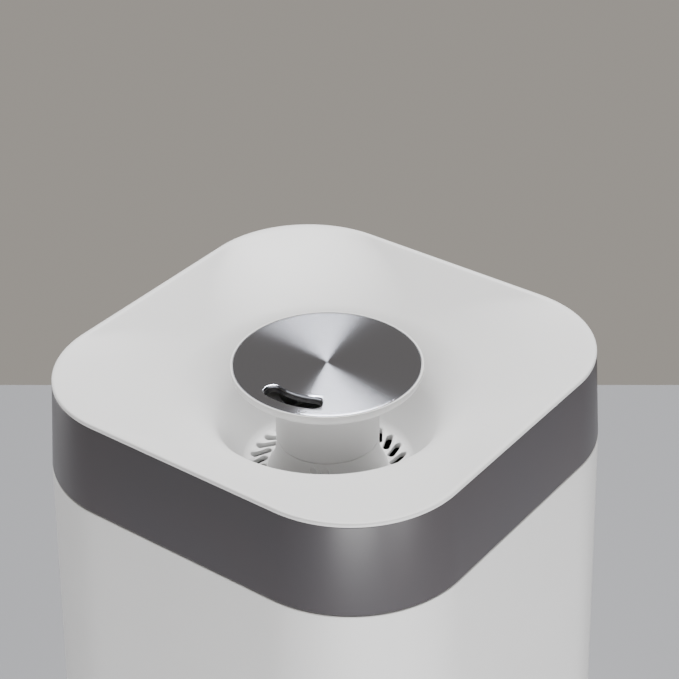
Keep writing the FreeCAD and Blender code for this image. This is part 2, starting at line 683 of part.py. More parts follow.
def make_air_duct():
    body = new_body("air_duct")
    foot, roof = S.blower_base + S.blower_wall, BLOWER_TOP
    outside = S.duct_bore + S.duct_wall
    start = BLOWER_X + S.blower_half_width
    channel = new_sketch(body, foot)
    draw_rectangle(channel, (outside - start) / 2, outside, (outside + start) / 2, S.duct_offset)
    pad(body, channel, roof - foot)
    riser = new_sketch(body, foot)
    draw_circle(riser, outside, 0, S.duct_offset)
    pad(body, riser, POOL_UNDERSIDE - foot)
    bore = new_sketch(body, POOL_UNDERSIDE)
    draw_circle(bore, S.duct_bore, 0, S.duct_offset)
    pocket(body, bore, POOL_UNDERSIDE - foot - S.duct_wall)
    passage = new_sketch(body, roof - S.duct_wall)
    draw_rectangle(passage, (S.duct_bore - start) / 2, S.duct_bore, (S.duct_bore + start) / 2,
                   S.duct_offset)
    pocket(body, passage, roof - foot - S.duct_wall * 2)


def make_air_filter():
    body = new_body("air_filter")
    outline = new_sketch(body, COVER_TOP)
    draw_rectangle(outline, S.filter_half_width - S.fit_gap, S.filter_half_width - S.fit_gap, BLOWER_X,
                   S.duct_offset)
    pad(body, outline, S.blower_base - COVER_TOP)


# ---- electronics --------------------------------------------------------------------------------

def make_driver_board():
    body = new_body("driver_board")
    outline = new_sketch(body, S.board_level)
    draw_rectangle(outline, S.board_half_length, S.board_half_width, S.board_offset, S.board_offset)
    pad(body, outline, S.board_thickness)
    holes = new_sketch(body, S.board_level + S.board_thickness)
    spots = []
    for dx in (-1, 1):
        for dy in (-1, 1):
            spot = (S.board_offset + S.board_screw_x * dx, S.board_offset + S.board_screw_y * dy)
            draw_circle(holes, S.small_screw + S.fit_gap / 2, *spot)
            spots.append(spot)
    pocket(body, holes, S.board_thickness)
    seat = S.board_level + S.board_thickness
    corners = hanging_screw_corners(S.small_screw, S.small_head, seat, S.small_screw,
                                    seat - COVER_TOP - S.board_post)
    screw_group("board_screws", corners, spots)

    sink = new_body("heat_sink")
    base = new_sketch(sink, seat)
    draw_rectangle(base, S.sink_half_length, S.sink_half_width, S.board_offset, S.board_offset)
    pad(sink, base, S.sink_base)
    fin = new_sketch(sink, seat + S.sink_base)
    first = S.board_offset - S.sink_half_length + S.fin_thickness / 2
    draw_rectangle(fin, S.fin_thickness / 2, S.sink_half_width, first, S.board_offset)
    fin_pad = pad(sink, fin, S.fin_height)
    repeat_along(sink, [fin_pad], "X_Axis", S.sink_half_length * 2 - S.fin_thickness, S.fin_count)


def make_dial():
    front = CUP_FRONT
    back = front - S.cup_depth
    rear = back - S.cup_wall
    flange = half_width_at(S.dial_level + S.dial_cup) - S.housing_wall - S.fit_gap
    cup, outside = S.dial_cup, S.dial_cup + S.cup_wall
    bore = S.dial_shaft + S.fit_gap
    face_forward(turned("dial_cup", [(bore, rear), (outside, rear), (outside, flange - S.cup_wall),
                                     (outside + S.cup_flange, flange - S.cup_wall),
                                     (outside + S.cup_flange, flange), (outside, flange),
                                     (outside, front), (cup, front), (cup, back), (bore, back)]),
                 z=S.dial_level)
    knob_foot = front - S.knob_length - S.fit_gap
    socket_share = 0.7
    socket = knob_foot + S.knob_length * socket_share
    shaft = S.dial_shaft + S.shaft_gap
    edge = S.cup_set_back
    knob = turned("dial_knob", [(shaft, knob_foot), (S.knob_radius, knob_foot),
                                (S.knob_radius, knob_foot + S.knob_length - edge),
                                (S.knob_radius - edge, knob_foot + S.knob_length),
                                (0, knob_foot + S.knob_length), (0, socket), (shaft, socket)])
    mark = new_sketch(knob, knob_foot + S.knob_length)
    draw_rectangle(mark, edge, S.knob_radius / 4, 0, S.knob_radius * 0.6)
    pocket(knob, mark, edge)
    face_forward(knob, z=S.dial_level)
    sensor_back = rear - S.sensor_depth
    shaft_back, shaft_front = sensor_back + S.cup_wall, socket - S.fit_gap
    face_forward(turned("dial_shaft", [(0, shaft_back), (S.dial_shaft, shaft_back),
                                       (S.dial_shaft, shaft_front), (0, shaft_front)]),
                 z=S.dial_level)
    sensor = new_body("dial_sensor")
    outline = new_sketch(sensor, sensor_back)
    draw_rectangle(outline, S.sensor_half_width, S.sensor_half_width)
    pad(sensor, outline, S.sensor_depth)
    hole = new_sketch(sensor, rear)
    draw_circle(hole, S.dial_shaft + S.shaft_gap)
    pocket(sensor, hole, S.sensor_depth - S.cup_wall + S.fit_gap)
    face_forward(sensor, z=S.dial_level)
    panel = new_body("control_board")
    panel_outline = new_sketch(panel, sensor_back)
    draw_rectangle(panel_outline, S.panel_half_width, S.panel_half_height)
    pad(panel, panel_outline, S.board_thickness, backwards=True)
    face_forward(panel, z=S.dial_level)
    lens_front = half_width_at(S.lens_level + S.lens_radius)
    lens_back = lens_front - S.lens_length
    face_forward(turned("indicator_lens", [(0, lens_back), (S.lens_radius, lens_back),
                                           (S.lens_radius, lens_front), (0, lens_front)]),
                 z=S.lens_level)


def make_power_inlet():
    nose = half_width_at(S.inlet_level + S.inlet_nose)
    shoulder = nose - S.housing_wall - S.fit_gap * 2
    body = new_body("power_inlet")
    block = new_sketch(body, shoulder)
    draw_rectangle(block, S.inlet_half_width, S.inlet_half_width)
    pad(body, block, S.inlet_length, backwards=True)
    ring = new_sketch(body, shoulder)
    draw_circle(ring, S.inlet_nose)
    pad(body, ring, nose - shoulder)
    bore = new_sketch(body, nose)
    draw_circle(bore, S.inlet_bore)
    draw_circle(bore, S.inlet_pin)
    pocket(body, bore, S.inlet_depth)
    face_forward(body, x=S.inlet_offset, z=S.inlet_level, back=True)


# ---- water tank and its valve -------------------------------------------------------------------

def make_water_tank():
    body = new_body("water_tank")
    lower = new_sketch(body, S.deck_level)
    body_outline(lower, TANK_HALF)
    pad(body, lower, BAND_FOOT - S.deck_level)
    band_foot, band_top = new_sketch(body, BAND_FOOT), new_sketch(body, TANK_TOP)
    body_outline(band_foot, BAND_FOOT_HALF)
    body_outline(band_top, S.rim_half_width)
    loft(body, [band_foot, band_top])
    cavity = new_sketch(body, BAND_FOOT + S.tank_floor)
    body_outline(cavity, TANK_HALF - S.tank_wall)
    pocket(body, cavity, BAND_FOOT - S.deck_level)
    shoulder, mouth = new_sketch(body, BAND_FOOT + S.tank_floor), new_sketch(body, TANK_TOP)
    spread = S.band_spread * (1 - S.tank_floor / S.band_height)
    body_outline(shoulder, S.rim_half_width + spread - S.band_wall)
    body_outline(mouth, S.rim_half_width - S.band_wall)
    loft(body, [shoulder, mouth], cut=True)
    chimney = new_sketch(body, S.deck_level)
    draw_circle(chimney, CHIMNEY_OUTSIDE)
    pad(body, chimney, CHIMNEY_TOP - S.deck_level)
    bore = new_sketch(body, CHIMNEY_TOP)
    draw_circle(bore, S.chimney_bore)
    pocket(body, bore, CHIMNEY_TOP - S.deck_level)
    port = new_sketch(body, S.deck_level + S.tank_floor)
    draw_circle(port, S.valve_port, VALVE_OFFSET, 0)
    pocket(body, port, S.tank_floor)


def make_tank_valve():
    x = VALVE_OFFSET
    plate_top = S.deck_level - S.valve_gasket
    plate_foot = plate_top - S.valve_plate
    neck = S.valve_port - S.fit_gap / 2
    guide = S.stem_radius + S.fit_gap / 2
    cap = turned("valve_cap", [(guide, plate_foot), (S.valve_flange, plate_foot),
                               (S.valve_flange, plate_top), (neck, plate_top),
                               (neck, S.deck_level + S.tank_floor),
                               (neck - S.tank_wall, S.deck_level + S.tank_floor),
                               (neck - S.tank_wall, plate_top), (guide, plate_top)], x=x)
    holes = new_sketch(cap, plate_top)
    draw_circle(holes, S.flow_hole, S.flow_circle, 0)
    hole = pocket(cap, holes, S.valve_plate)
    repeat_around(cap, [hole], 6)
    turned("valve_gasket", ring_corners(S.valve_port, S.valve_flange, plate_top, S.deck_level), x=x)
    seal_top = plate_top + S.seal_thickness
    disc_top = seal_top + S.stem_radius
    stem_foot = plate_foot - S.stem_reach
    rest_foot, rest_top = stem_foot + S.stem_radius, stem_foot + S.stem_radius * 2
    turned("valve_plunger", [(0, stem_foot), (S.stem_radius, stem_foot), (S.stem_radius, rest_foot),
                             (S.stem_radius * 3, rest_foot), (S.stem_radius * 3, rest_top),
                             (S.stem_radius, rest_top), (S.stem_radius, seal_top),
                             (S.seal_radius, seal_top), (S.seal_radius, disc_top), (0, disc_top)], x=x)
    turned("valve_seal", ring_corners(S.stem_radius + S.shaft_gap, S.seal_radius, plate_top, seal_top), x=x)
    make_valve_spring(rest_top, plate_foot)


def make_valve_spring(low, high):
    """A round wire coiled between the plunger's lower collar and the underside of the cap."""
    wire = S.spring_wire.value
    height = high.value - low.value - wire * 2
    coil = S.stem_radius.value * 2
    path = Part.makeHelix(height / S.spring_turns.value, height, coil)
    section = Part.Wire(Part.makeCircle(wire, FreeCAD.Vector(coil, 0, 0), FreeCAD.Vector(0, 1, 0)))
    spring = document.addObject("Part::Feature", "ValveSpring")
    spring.Shape = Part.Wire(path).makePipeShell([section], True, True)
    spring.Placement = FreeCAD.Placement(FreeCAD.Vector(VALVE_OFFSET.value, 0, low.value + wire),
                                         FreeCAD.Rotation())
    keep(spring, "valve_spring")


# ---- tray ---------------------------------------------------------------------------------------

def bowl_stations():
    """Points up the bowl's inside as (half width, height over the floor, steepness in degrees).

    In section the bowl is a steep straight wall and a gentle straight slope up to the lip, joined
    by the arc of the bell mouth.
    """
    steep, gentle = S.well_angle.turn_ratio("tan"), S.slope_angle.turn_ratio("tan")
    lip_half = S.rim_half_width - S.lip_edge
    corner = S.derive("bell_corner", (S.well_depth - lip_half * gentle + S.well_floor_radius * steep)
                      / (steep - gentle))
    corner_rise = S.derive("bell_rise", (corner - S.well_floor_radius) * steep)
    reach = S.derive("bell_reach", S.bell_radius * ((S.well_angle - S.slope_angle) / 2).turn_ratio("tan"))
    start = S.derive("bell_start", corner - reach * S.well_angle.turn_ratio("cos"))
    start_rise = S.derive("bell_start_rise", corner_rise - reach * S.well_angle.turn_ratio("sin"))
    stations = [(S.well_floor_radius, as_size(0), S.well_angle), (start, start_rise, S.well_angle)]
    arc_steps = 5
    for number in range(1, arc_steps + 1):
        angle = S.well_angle - (S.well_angle - S.slope_angle) * number / arc_steps
        half = start + S.bell_radius * (S.well_angle.turn_ratio("sin") - angle.turn_ratio("sin"))
        rise = start_rise + S.bell_radius * (angle.turn_ratio("cos") - S.well_angle.turn_ratio("cos"))
        stations.append((half, rise, angle))
    end, end_rise = stations[-1][:2]
    for share in (0.3, 0.6, 0.9, 1):
        stations.append((end + (lip_half - end) * share, end_rise + (S.well_depth - end_rise) * share,
                         S.slope_angle))
    return stations


BOWL = bowl_stations()


def bowl_roundness(half):
    """Corner radius as a share of the half width, from nearly round in the well to the lip's own.

    The share of the way out enters as its cube, so the bell mouth stays round up to the slope.
    """
    lip_half = S.rim_half_width - S.lip_edge
    lip_share = (S.rim_corner_radius - S.lip_edge) / lip_half
    share = (half - S.well_floor_radius) / (lip_half - S.well_floor_radius)
    return S.well_roundness - share * share * share * (S.well_roundness - lip_share)


def bowl_sketches(body, wall, stations):
    """Outlines up the bowl, moved outwards from its inside by a wall."""
    sketches = []
    for half, rise, angle in stations:
        wide = half + angle.turn_ratio("sin") * wall
        sketch = new_sketch(body, WELL_FLOOR + rise - angle.turn_ratio("cos") * wall)
        draw_rounded(sketch, wide, wide * bowl_roundness(half))
        sketches.append(sketch)
    return sketches


def make_top_tray():
    body = new_body("top_tray")
    skirt_half = S.rim_half_width - S.band_wall - S.fit_gap - S.seal_bulge
    floor = new_sketch(body, WELL_UNDERSIDE)
    draw_circle(floor, S.well_floor_radius + S.tray_wall / 2)
    pad(body, floor, S.tray_wall)
    loft(body, bowl_sketches(body, S.tray_wall, BOWL[:-1]))
    plug_foot = RIM - S.tray_wall * 1.5
    plug = new_sketch(body, plug_foot)
    body_outline(plug, skirt_half)
    pad(body, plug, TANK_TOP - plug_foot)
    lip = new_sketch(body, TANK_TOP)
    body_outline(lip, S.rim_half_width)
    pad(body, lip, S.lip_height)
    skirt = new_sketch(body, TANK_TOP - S.skirt_depth)
    body_outline(skirt, skirt_half)
    body_outline(skirt, skirt_half - S.skirt_wall)
    pad(body, skirt, S.skirt_depth)
    loft(body, bowl_sketches(body, as_size(0), BOWL), cut=True)
    centre = new_sketch(body, WELL_FLOOR)
    draw_circle(centre, S.chimney_bore - S.fit_gap / 2)
    pocket(body, centre, S.tray_wall)
    slots = new_sketch(body, WELL_FLOOR)
    draw_swirled_slot(slots)
    slot = pocket(body, slots, S.tray_wall)
    repeat_around(body, [slot], S.slot_count)

    seal = new_body("tray_seal")
    ring = new_sketch(seal, TANK_TOP - S.skirt_depth / 2 - S.seal_height / 2)
    body_outline(ring, skirt_half + S.seal_bulge)
    body_outline(ring, skirt_half)
    pad(seal, ring, S.seal_height)
    turned("chimney_seal", ring_corners(S.chimney_bore, CHIMNEY_OUTSIDE, CHIMNEY_TOP, WELL_UNDERSIDE))


def draw_swirled_slot(sketch):
    """A slot with round ends whose inner end lags behind its outer end by the swirl angle."""
    swirl = math.radians(S.slot_swirl.value)
    radius = S.slot_width / 2
    inner, outer = S.slot_inner + radius, S.slot_outer - radius
    start = (inner * math.cos(swirl), inner * -math.sin(swirl))
    finish = (outer, Size("0", 0))
    along = FreeCAD.Vector(finish[0].value - start[0].value, finish[1].value - start[1].value, 0)
    side = FreeCAD.Vector(-along.y, along.x, 0).normalize()
    shift_x, shift_y = radius * side.x, radius * side.y
    corners = [(start[0] - shift_x, start[1] - shift_y), (finish[0] - shift_x, finish[1] - shift_y),
               (finish[0] + shift_x, finish[1] + shift_y), (start[0] + shift_x, start[1] + shift_y)]
    round_end = (radius * HALF_CIRCLE, 1)
    draw_outline(sketch, corners, {1: round_end, 3: round_end})


# ---- mist nozzle --------------------------------------------------------------------------------

def make_nozzle_collar():
    flare_share, groove_share = 1.6, 0.35
    foot, flare = S.collar_foot, S.collar_height * flare_share
    skirt = S.chimney_bore - S.fit_gap * 1.5
    spigot_top = COLLAR_TOP + S.spigot_height
    groove_foot = COLLAR_TOP + S.spigot_height * groove_share
    groove_top, groove = groove_foot + S.seal_thickness, SPIGOT_RADIUS - S.seal_thickness / 2
    skirt_foot = WELL_FLOOR - S.collar_skirt
    turned("nozzle_collar", [(COLLAR_BORE, skirt_foot), (skirt, skirt_foot),
                             (skirt, WELL_FLOOR), (foot, WELL_FLOOR), (S.column_radius, COLLAR_TOP),
                             (SPIGOT_RADIUS, COLLAR_TOP), (SPIGOT_RADIUS, groove_foot),
                             (groove, groove_foot), (groove, groove_top), (SPIGOT_RADIUS, groove_top),
                             (SPIGOT_RADIUS, spigot_top), (COLLAR_BORE, spigot_top)],
           {3: (flare, -1)})
    turned("head_ring", ring_corners(groove + S.shaft_gap, COLUMN_BORE - S.shaft_gap,
                                     groove_foot + S.shaft_gap, groove_top - S.shaft_gap))


def make_nozzle_head():
    foot = COLLAR_TOP + S.seam_gap
    rim_foot = DISC_TOP - S.cap_rim_height
    cone_foot = rim_foot - S.cap_cone_height
    recess = S.disc_radius + S.disc_gap
    chamber = CAP_RADIUS - S.column_wall * 2
    chamber_foot = PLATE_UNDERSIDE - S.cap_plate
    body = new_body("nozzle_head")
    revolve(body, [(COLUMN_BORE, foot), (S.column_radius, foot), (S.column_radius, cone_foot),
                   (CAP_RADIUS - S.cap_plate, rim_foot), (CAP_RADIUS, rim_foot + S.cap_plate),
                   (CAP_RADIUS, DISC_TOP), (recess, DISC_TOP), (recess, PLATE_TOP), (0, PLATE_TOP),
                   (0, PLATE_UNDERSIDE), (chamber, PLATE_UNDERSIDE), (chamber, chamber_foot),
                   (COLUMN_BORE, cone_foot + S.cap_plate)], {3: (S.cap_plate, 1)})
    mouth = new_sketch(body, PLATE_TOP)
    draw_kidney(mouth)
    pocket(body, mouth, S.cap_plate)
    disc = new_body("nozzle_disc")
    face = new_sketch(disc, PLATE_TOP)
    draw_circle(face, S.disc_radius)
    pad(disc, face, S.disc_thickness)
    window = new_sketch(disc, DISC_TOP)
    draw_kidney(window)
    pocket(disc, window, S.disc_thickness)


def draw_kidney(sketch):
    """An arc-shaped slot: two arcs about the nozzle's axis joined by round ends."""
    inner, outer = S.kidney_radius - S.kidney_half_width, S.kidney_radius + S.kidney_half_width
    turn, half = S.kidney_turn.value, S.kidney_half_angle.value
    first, last = math.radians(turn - half), math.radians(turn + half)
    round_end = (S.kidney_half_width * HALF_CIRCLE, 1)
    draw_outline(sketch, [(outer * math.cos(first), outer * math.sin(first)),
                          (outer * math.cos(last), outer * math.sin(last)),
                          (inner * math.cos(last), inner * math.sin(last)),
                          (inner * math.cos(first), inner * math.sin(first))],
                 {0: (outer, 1), 1: round_end, 2: (inner, -1), 3: round_end})


# ---- build, check and write ---------------------------------------------------------------------

def check_and_write():
    document.recompute()
    for item in document.Objects:
        if "Invalid" in item.State or "Error" in item.State:
            raise RuntimeError(f"{item.Label} ({item.TypeId}) failed: {item.State}")
    os.makedirs("parts", exist_ok=True)
    for item in sub_parts:
        if item.Shape.isNull() or not item.Shape.isValid():
            raise RuntimeError(f"{item.Label} has no valid shape")
    for item in sub_parts:
        item.Shape.exportStep(os.path.join("parts", f"{item.Label}.step"))
        box = item.Shape.optimalBoundingBox()
        print(f"{item.Label}: {item.Shape.Volume / 1000:.2f} cm3, z {box.ZMin:.1f} to {box.ZMax:.1f}, "
              f"{len(item.Shape.Solids)} solid(s)")


make_outer_housing()
make_bottom_cover()
make_rubber_feet()
make_cover_screws()
make_basin()
make_transducer()
make_level_float()
make_blower_case()
make_blower_rotor()
make_air_duct()
make_air_filter()
make_driver_board()
make_dial()
make_power_inlet()
make_water_tank()
make_tank_valve()
make_top_tray()
make_nozzle_collar()
make_nozzle_head()
check_and_write()
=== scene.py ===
"""Cool mist humidifier: surfaces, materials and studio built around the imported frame."""
import json
import math

import bmesh
import bpy
import numpy as np
from mathutils import Matrix, Vector


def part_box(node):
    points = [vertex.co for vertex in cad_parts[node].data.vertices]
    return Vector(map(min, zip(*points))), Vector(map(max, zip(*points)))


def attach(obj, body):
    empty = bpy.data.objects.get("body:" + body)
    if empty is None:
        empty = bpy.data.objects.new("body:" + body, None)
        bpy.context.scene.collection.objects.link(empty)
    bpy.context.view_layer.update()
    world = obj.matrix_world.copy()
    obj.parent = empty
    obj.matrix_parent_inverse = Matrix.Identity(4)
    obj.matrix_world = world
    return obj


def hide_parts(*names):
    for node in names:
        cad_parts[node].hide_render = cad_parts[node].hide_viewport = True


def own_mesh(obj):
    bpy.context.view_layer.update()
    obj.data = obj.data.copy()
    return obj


bl_info = {
    "name": "Cool Mist Humidifier",
    "version": (1, 0, 0),
    "blender": (4, 5, 0),
    "location": "View3D > Sidebar > Humidifier",
    "description": "Builds the visible surfaces of a top-fill humidifier around its packed frame",
    "category": "Object",
}

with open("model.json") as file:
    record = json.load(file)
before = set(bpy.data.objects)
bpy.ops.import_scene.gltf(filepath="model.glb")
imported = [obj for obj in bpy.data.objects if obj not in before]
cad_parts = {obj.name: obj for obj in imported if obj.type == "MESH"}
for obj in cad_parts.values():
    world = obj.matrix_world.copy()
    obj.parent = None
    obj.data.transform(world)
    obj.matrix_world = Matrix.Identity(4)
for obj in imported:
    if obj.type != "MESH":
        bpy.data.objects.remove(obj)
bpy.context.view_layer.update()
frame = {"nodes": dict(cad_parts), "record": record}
MM = 0.001
STEPS = 360


def span(node, axis):
    """Lowest and highest coordinate of a node along an axis (0, 1 or 2)."""
    low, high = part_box(node)
    return low[axis], high[axis]


def middle(node, axis):
    return sum(span(node, axis)) / 2


RIM_HALF = span("top_tray", 0)[1]
RIM_TOP = span("top_tray", 2)[1]
TRAY_UNDERSIDE = span("top_tray", 2)[0]
TANK_FOOT, TANK_TOP = span("water_tank", 2)
BAND_HALF = span("water_tank", 0)[1]
HOUSING_FOOT, HOUSING_TOP = span("outer_housing", 2)
HOUSING_HALF = span("outer_housing", 0)[1]
PLATE_TOP = span("nozzle_disc", 2)[0]
DISC_TOP = span("nozzle_disc", 2)[1]
BAND_FOOT = HOUSING_TOP + 0.4 * MM
TANK_HALF = BAND_HALF - 4.5 * MM
TANK_WALL, BAND_WALL, TANK_FLOOR = 2.5 * MM, 2.4 * MM, 3 * MM
HOUSING_WALL = 3 * MM
COLUMN_RADIUS, COLUMN_BORE = 23.7 * MM, 21.2 * MM
COLLAR_RISE, COLLAR_FLARE, COLLAR_BORE, SPIGOT_RADIUS = 17 * MM, 27.2 * MM, 18.7 * MM, 20.7 * MM
SKIRT_RADIUS, TRAY_HOLE = 22.2 * MM, 22.6 * MM
CHIMNEY_RADIUS, CHIMNEY_BORE = 25 * MM, 22.8 * MM
CUP_HOLE, LENS_HOLE, INLET_HOLE = 22.2 * MM, 2.55 * MM, 5.8 * MM
MARKS_AZIMUTH = -63.275
CAMERA_AZIMUTH, CAMERA_ELEVATION, CAMERA_ROLL = 36.725, 32.563, -0.458
CAMERA_SHARES = (4.345, -5.7305, 4.6804)
CAMERA_LENS, CAMERA_SENSOR = 103.69, 36
ROOM_SHARE = 0.68
SLOT_MARGIN = 1.5 * MM
ARC_STEPS, END_STEPS = 52, 16
MERGE_DISTANCE = 2e-6
SHARP_ANGLE = 32


def housing_half(level):
    """Half width of the housing's outside at a level: it narrows evenly to the band."""
    share = (level - HOUSING_FOOT) / (HOUSING_TOP - HOUSING_FOOT)
    return HOUSING_HALF + (BAND_HALF - HOUSING_HALF) * share


# ---- settings that a user would change ----------------------------------------------------------

def length_property(name, description, millimetres):
    return bpy.props.FloatProperty(name=name, description=description, default=millimetres * MM,
                                   min=0, precision=4, subtype="DISTANCE", unit="LENGTH")


def angle_property(name, description, degrees):
    return bpy.props.FloatProperty(name=name, description=description, default=math.radians(degrees),
                                   subtype="ANGLE", unit="ROTATION")


def colour_property(name, description, default):
    return bpy.props.FloatVectorProperty(name=name, description=description, default=default, size=3,
                                         min=0, max=1, subtype="COLOR")


class HumidifierShape(bpy.types.PropertyGroup):
    """Shapes that the frame leaves open."""
    corner: length_property("Rim corner", "Corner radius of the rim's rounded square", 52.5)
    wall: length_property("Tray wall", "Thickness of the tray", 2.5)
    well_radius: length_property("Well floor radius", "Radius where the floor meets the well's wall", 38.3)
    well_angle: angle_property("Well wall angle", "Steepness of the well's wall", 66)
    slope_angle: angle_property("Bowl slope", "Steepness between the lip and the bell mouth", 26)
    floor_fillet: length_property("Floor fillet", "Radius that blends the well's floor into its wall", 7)
    bell_radius: length_property("Bell mouth radius", "Radius of the bend from the slope to the well", 40)
    lip_width: length_property("Lip width", "Width of the level rim round the bowl", 2.2)
    lip_round: length_property("Lip rounding", "Rounding of the rim's outer edge", 1.1)
    slot_count: bpy.props.IntProperty(name="Floor slots", description="Swirled slots in the well floor",
                                      default=30, min=3)
    slot_width: length_property("Slot width", "Width of a floor slot", 3.3)
    slot_inner: length_property("Slot inner end", "Distance of a slot's inner end from the axis", 28.5)
    slot_outer: length_property("Slot outer end", "Distance of a slot's outer end from the axis", 37.2)
    slot_swirl: angle_property("Slot swirl", "Angle by which a slot's inner end lags its outer end", 9.5)
    kidney_turn: angle_property("Mist slot direction", "Direction of the mist slot's middle from +X", -82)
    kidney_spread: angle_property("Mist slot half angle", "From the slot's middle to an end's centre", 17.5)
    kidney_radius: length_property("Mist slot radius", "Distance of its middle line from the axis", 32.5)
    kidney_half_width: length_property("Mist slot half width", "Half the width of the mist slot", 4.5)
    edge: length_property("Edge rounding", "Rounding of the moulded edges", 0.7)
    chamfer: length_property("Hole chamfer", "Broken edge round the slots", 0.3)


class HumidifierColours(bpy.types.PropertyGroup):
    """Base colours of the finishes."""
    white: colour_property("White plastic", "Satin white of the housing and tray", (0.81, 0.81, 0.81))
    smoke: colour_property("Smoke plastic", "Dark glossy tank wall", (0.066, 0.064, 0.066))
    metal: colour_property("Spun metal", "Disc on the nozzle", (0.50, 0.515, 0.58))
    wall: colour_property("Backdrop", "Wall behind the stage", (0.352, 0.328, 0.296))
    floor: colour_property("Floor", "Table that the object stands on", (0.26, 0.265, 0.283))


def shape():
    return bpy.context.scene.humidifier_shape


def colours():
    return bpy.context.scene.humidifier_colours


# ---- surfaces on grids --------------------------------------------------------------------------

def around(count=STEPS, turn=0.0):
    """Evenly spaced angles once round the axis, the first at turn."""
    return turn + np.arange(count) * (2 * np.pi / count)


def square_radius(angles, half, corner):
    """Distance from the axis to a rounded square, by angle.

    The angle is folded to the nearest side's middle.  Along the straight stretch the distance is
    the half width over the angle's cosine; past it, it is where the ray leaves the corner's circle.
    """
    folded = np.abs((angles + np.pi / 4) % (np.pi / 2) - np.pi / 4)
    straight = half - corner
    ahead = straight * (np.cos(folded) + np.sin(folded))
    on_corner = ahead + np.sqrt(np.maximum(ahead ** 2 - 2 * straight ** 2 + corner ** 2, 0))
    return np.where(half * np.tan(folded) <= straight, half / np.cos(folded), on_corner)


def square_rows(half, level, corner):
    """Rows of points, each a rounded square given by its half width, level and corner radius."""
    half, level, corner = (np.asarray(item, float)[:, None] for item in (half, level, corner))
    angles = around()[None, :]
    radius = square_radius(angles, half, corner)
    return np.stack([radius * np.cos(angles), radius * np.sin(angles), level + 0 * radius], -1)


def turned_rows(profile, angles, centre=(0, 0, 0), facing="up"):
    """Rows of circles, one for each (radius, distance along the axis) point of a profile.

    The axis is vertical, or level and pointing to the front.
    """
    radius, along = (np.asarray(profile, float)[:, item, None] for item in (0, 1))
    across, upright = radius * np.cos(angles), radius * np.sin(angles)
    along = along + 0 * across
    axes = [across, upright, along] if facing == "up" else [across, -along, upright]
    return np.stack(axes, -1) + np.asarray(centre, float)


def flat_points(plane_points, levels):
    """Points in space from complex numbers, x + iy, and their levels."""
    levels = levels + np.zeros(plane_points.shape)
    return np.stack([plane_points.real, plane_points.imag, levels], -1)


def grid_patch(points, closed_rows=False, closed_columns=True):
    """Quads between neighbouring points of a grid; either direction may close on itself."""
    rows, columns = points.shape[:2]
    row = np.arange(rows if closed_rows else rows - 1)[:, None]
    column = np.arange(columns if closed_columns else columns - 1)[None, :]
    next_row, next_column = (row + 1) % rows, (column + 1) % columns
    faces = [row * columns + column, row * columns + next_column,
             next_row * columns + next_column, next_row * columns + column]
    return points.reshape(-1, 3), np.stack(faces, -1).reshape(-1, 4)


def rounded(corners, radii, steps=6):
    """A closed outline whose corners are arcs.

    Each arc touches both sides at its radius over the tangent of half the corner's angle, held to
    under half the shorter side; its points turn evenly about a centre on the corner's bisector.
    """
    corner = np.asarray(corners, float)
    before, after = np.roll(corner, 1, 0) - corner, np.roll(corner, -1, 0) - corner
    lengths = np.linalg.norm([before, after], axis=2)
    before, after = before / lengths[0][:, None], after / lengths[1][:, None]
    opening = np.arccos(np.clip((before * after).sum(1), -1, 1))
    touch = np.minimum(np.asarray(radii) / np.tan(opening / 2), lengths.min(0) * 0.48)
    radius = touch * np.tan(opening / 2)
    bisector = before + after
    bisector = bisector / np.linalg.norm(bisector, axis=1)[:, None]
    centre = corner + bisector * (radius / np.sin(opening / 2))[:, None]
    first, last = (corner + side * touch[:, None] - centre for side in (before, after))
    turn = np.pi - opening
    share = np.linspace(0, 1, steps)[None, :, None]
    turn = turn[:, None, None]
    arc = (np.sin((1 - share) * turn) * first[:, None] + np.sin(share * turn) * last[:, None]) / np.sin(turn)
    return (centre[:, None] + arc).reshape(-1, 2)


def hole_rings(edge, outline, top, bottom):
    """Rings of points down through a plate's hole, from its cell's edge on top to that below.

    edge is the cell's loop and outline(growth) the hole's own, grown by a distance; both are
    complex and have as many points.  The hole's edges are broken by a small rounded chamfer.
    """
    size = shape().chamfer
    growths = [size, size * 0.3, 0, 0, size * 0.3, size]
    levels = [top, top - size * 0.3, top - size, bottom + size, bottom + size * 0.3, bottom]
    loops = np.stack([edge, *(outline(growth) for growth in growths), edge])
    return loops, np.array([top, *levels, bottom])[:, None]


def link_object(name, data):
    item = bpy.data.objects.new(name, data)
    bpy.context.scene.collection.objects.link(item)
    return item


def merged_mesh(name, points, faces):
    """A mesh whose points are merged where patches meet and whose faces point outwards."""
    mesh = bpy.data.meshes.new(name)
    mesh.from_pydata(points.tolist(), [], faces.tolist())
    merged = bmesh.new()
    merged.from_mesh(mesh)
    bmesh.ops.remove_doubles(merged, verts=merged.verts, dist=MERGE_DISTANCE)
    bmesh.ops.recalc_face_normals(merged, faces=merged.faces)
    merged.to_mesh(mesh)
    merged.free()
    return mesh


def smooth_mesh(mesh):
    mesh.polygons.foreach_set("use_smooth", np.ones(len(mesh.polygons), bool))
    mesh.set_sharp_from_angle(angle=math.radians(SHARP_ANGLE))


def make_piece(name, patches, slot, body, *nodes):
    """One mesh from patches, merged at their seams, with its material, body and replaced nodes."""
    starts = np.cumsum([0, *(len(points) for points, faces in patches)])
    points = np.concatenate([points for points, faces in patches])
    faces = np.concatenate([faces + start for start, (points_, faces) in zip(starts, patches)])
    mesh = merged_mesh(name, points, faces)
    smooth_mesh(mesh)
    piece = link_object(name, mesh)
    mesh.materials.append(finish(slot))
    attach(piece, body)
    if nodes:
        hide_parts(*nodes)
    return piece


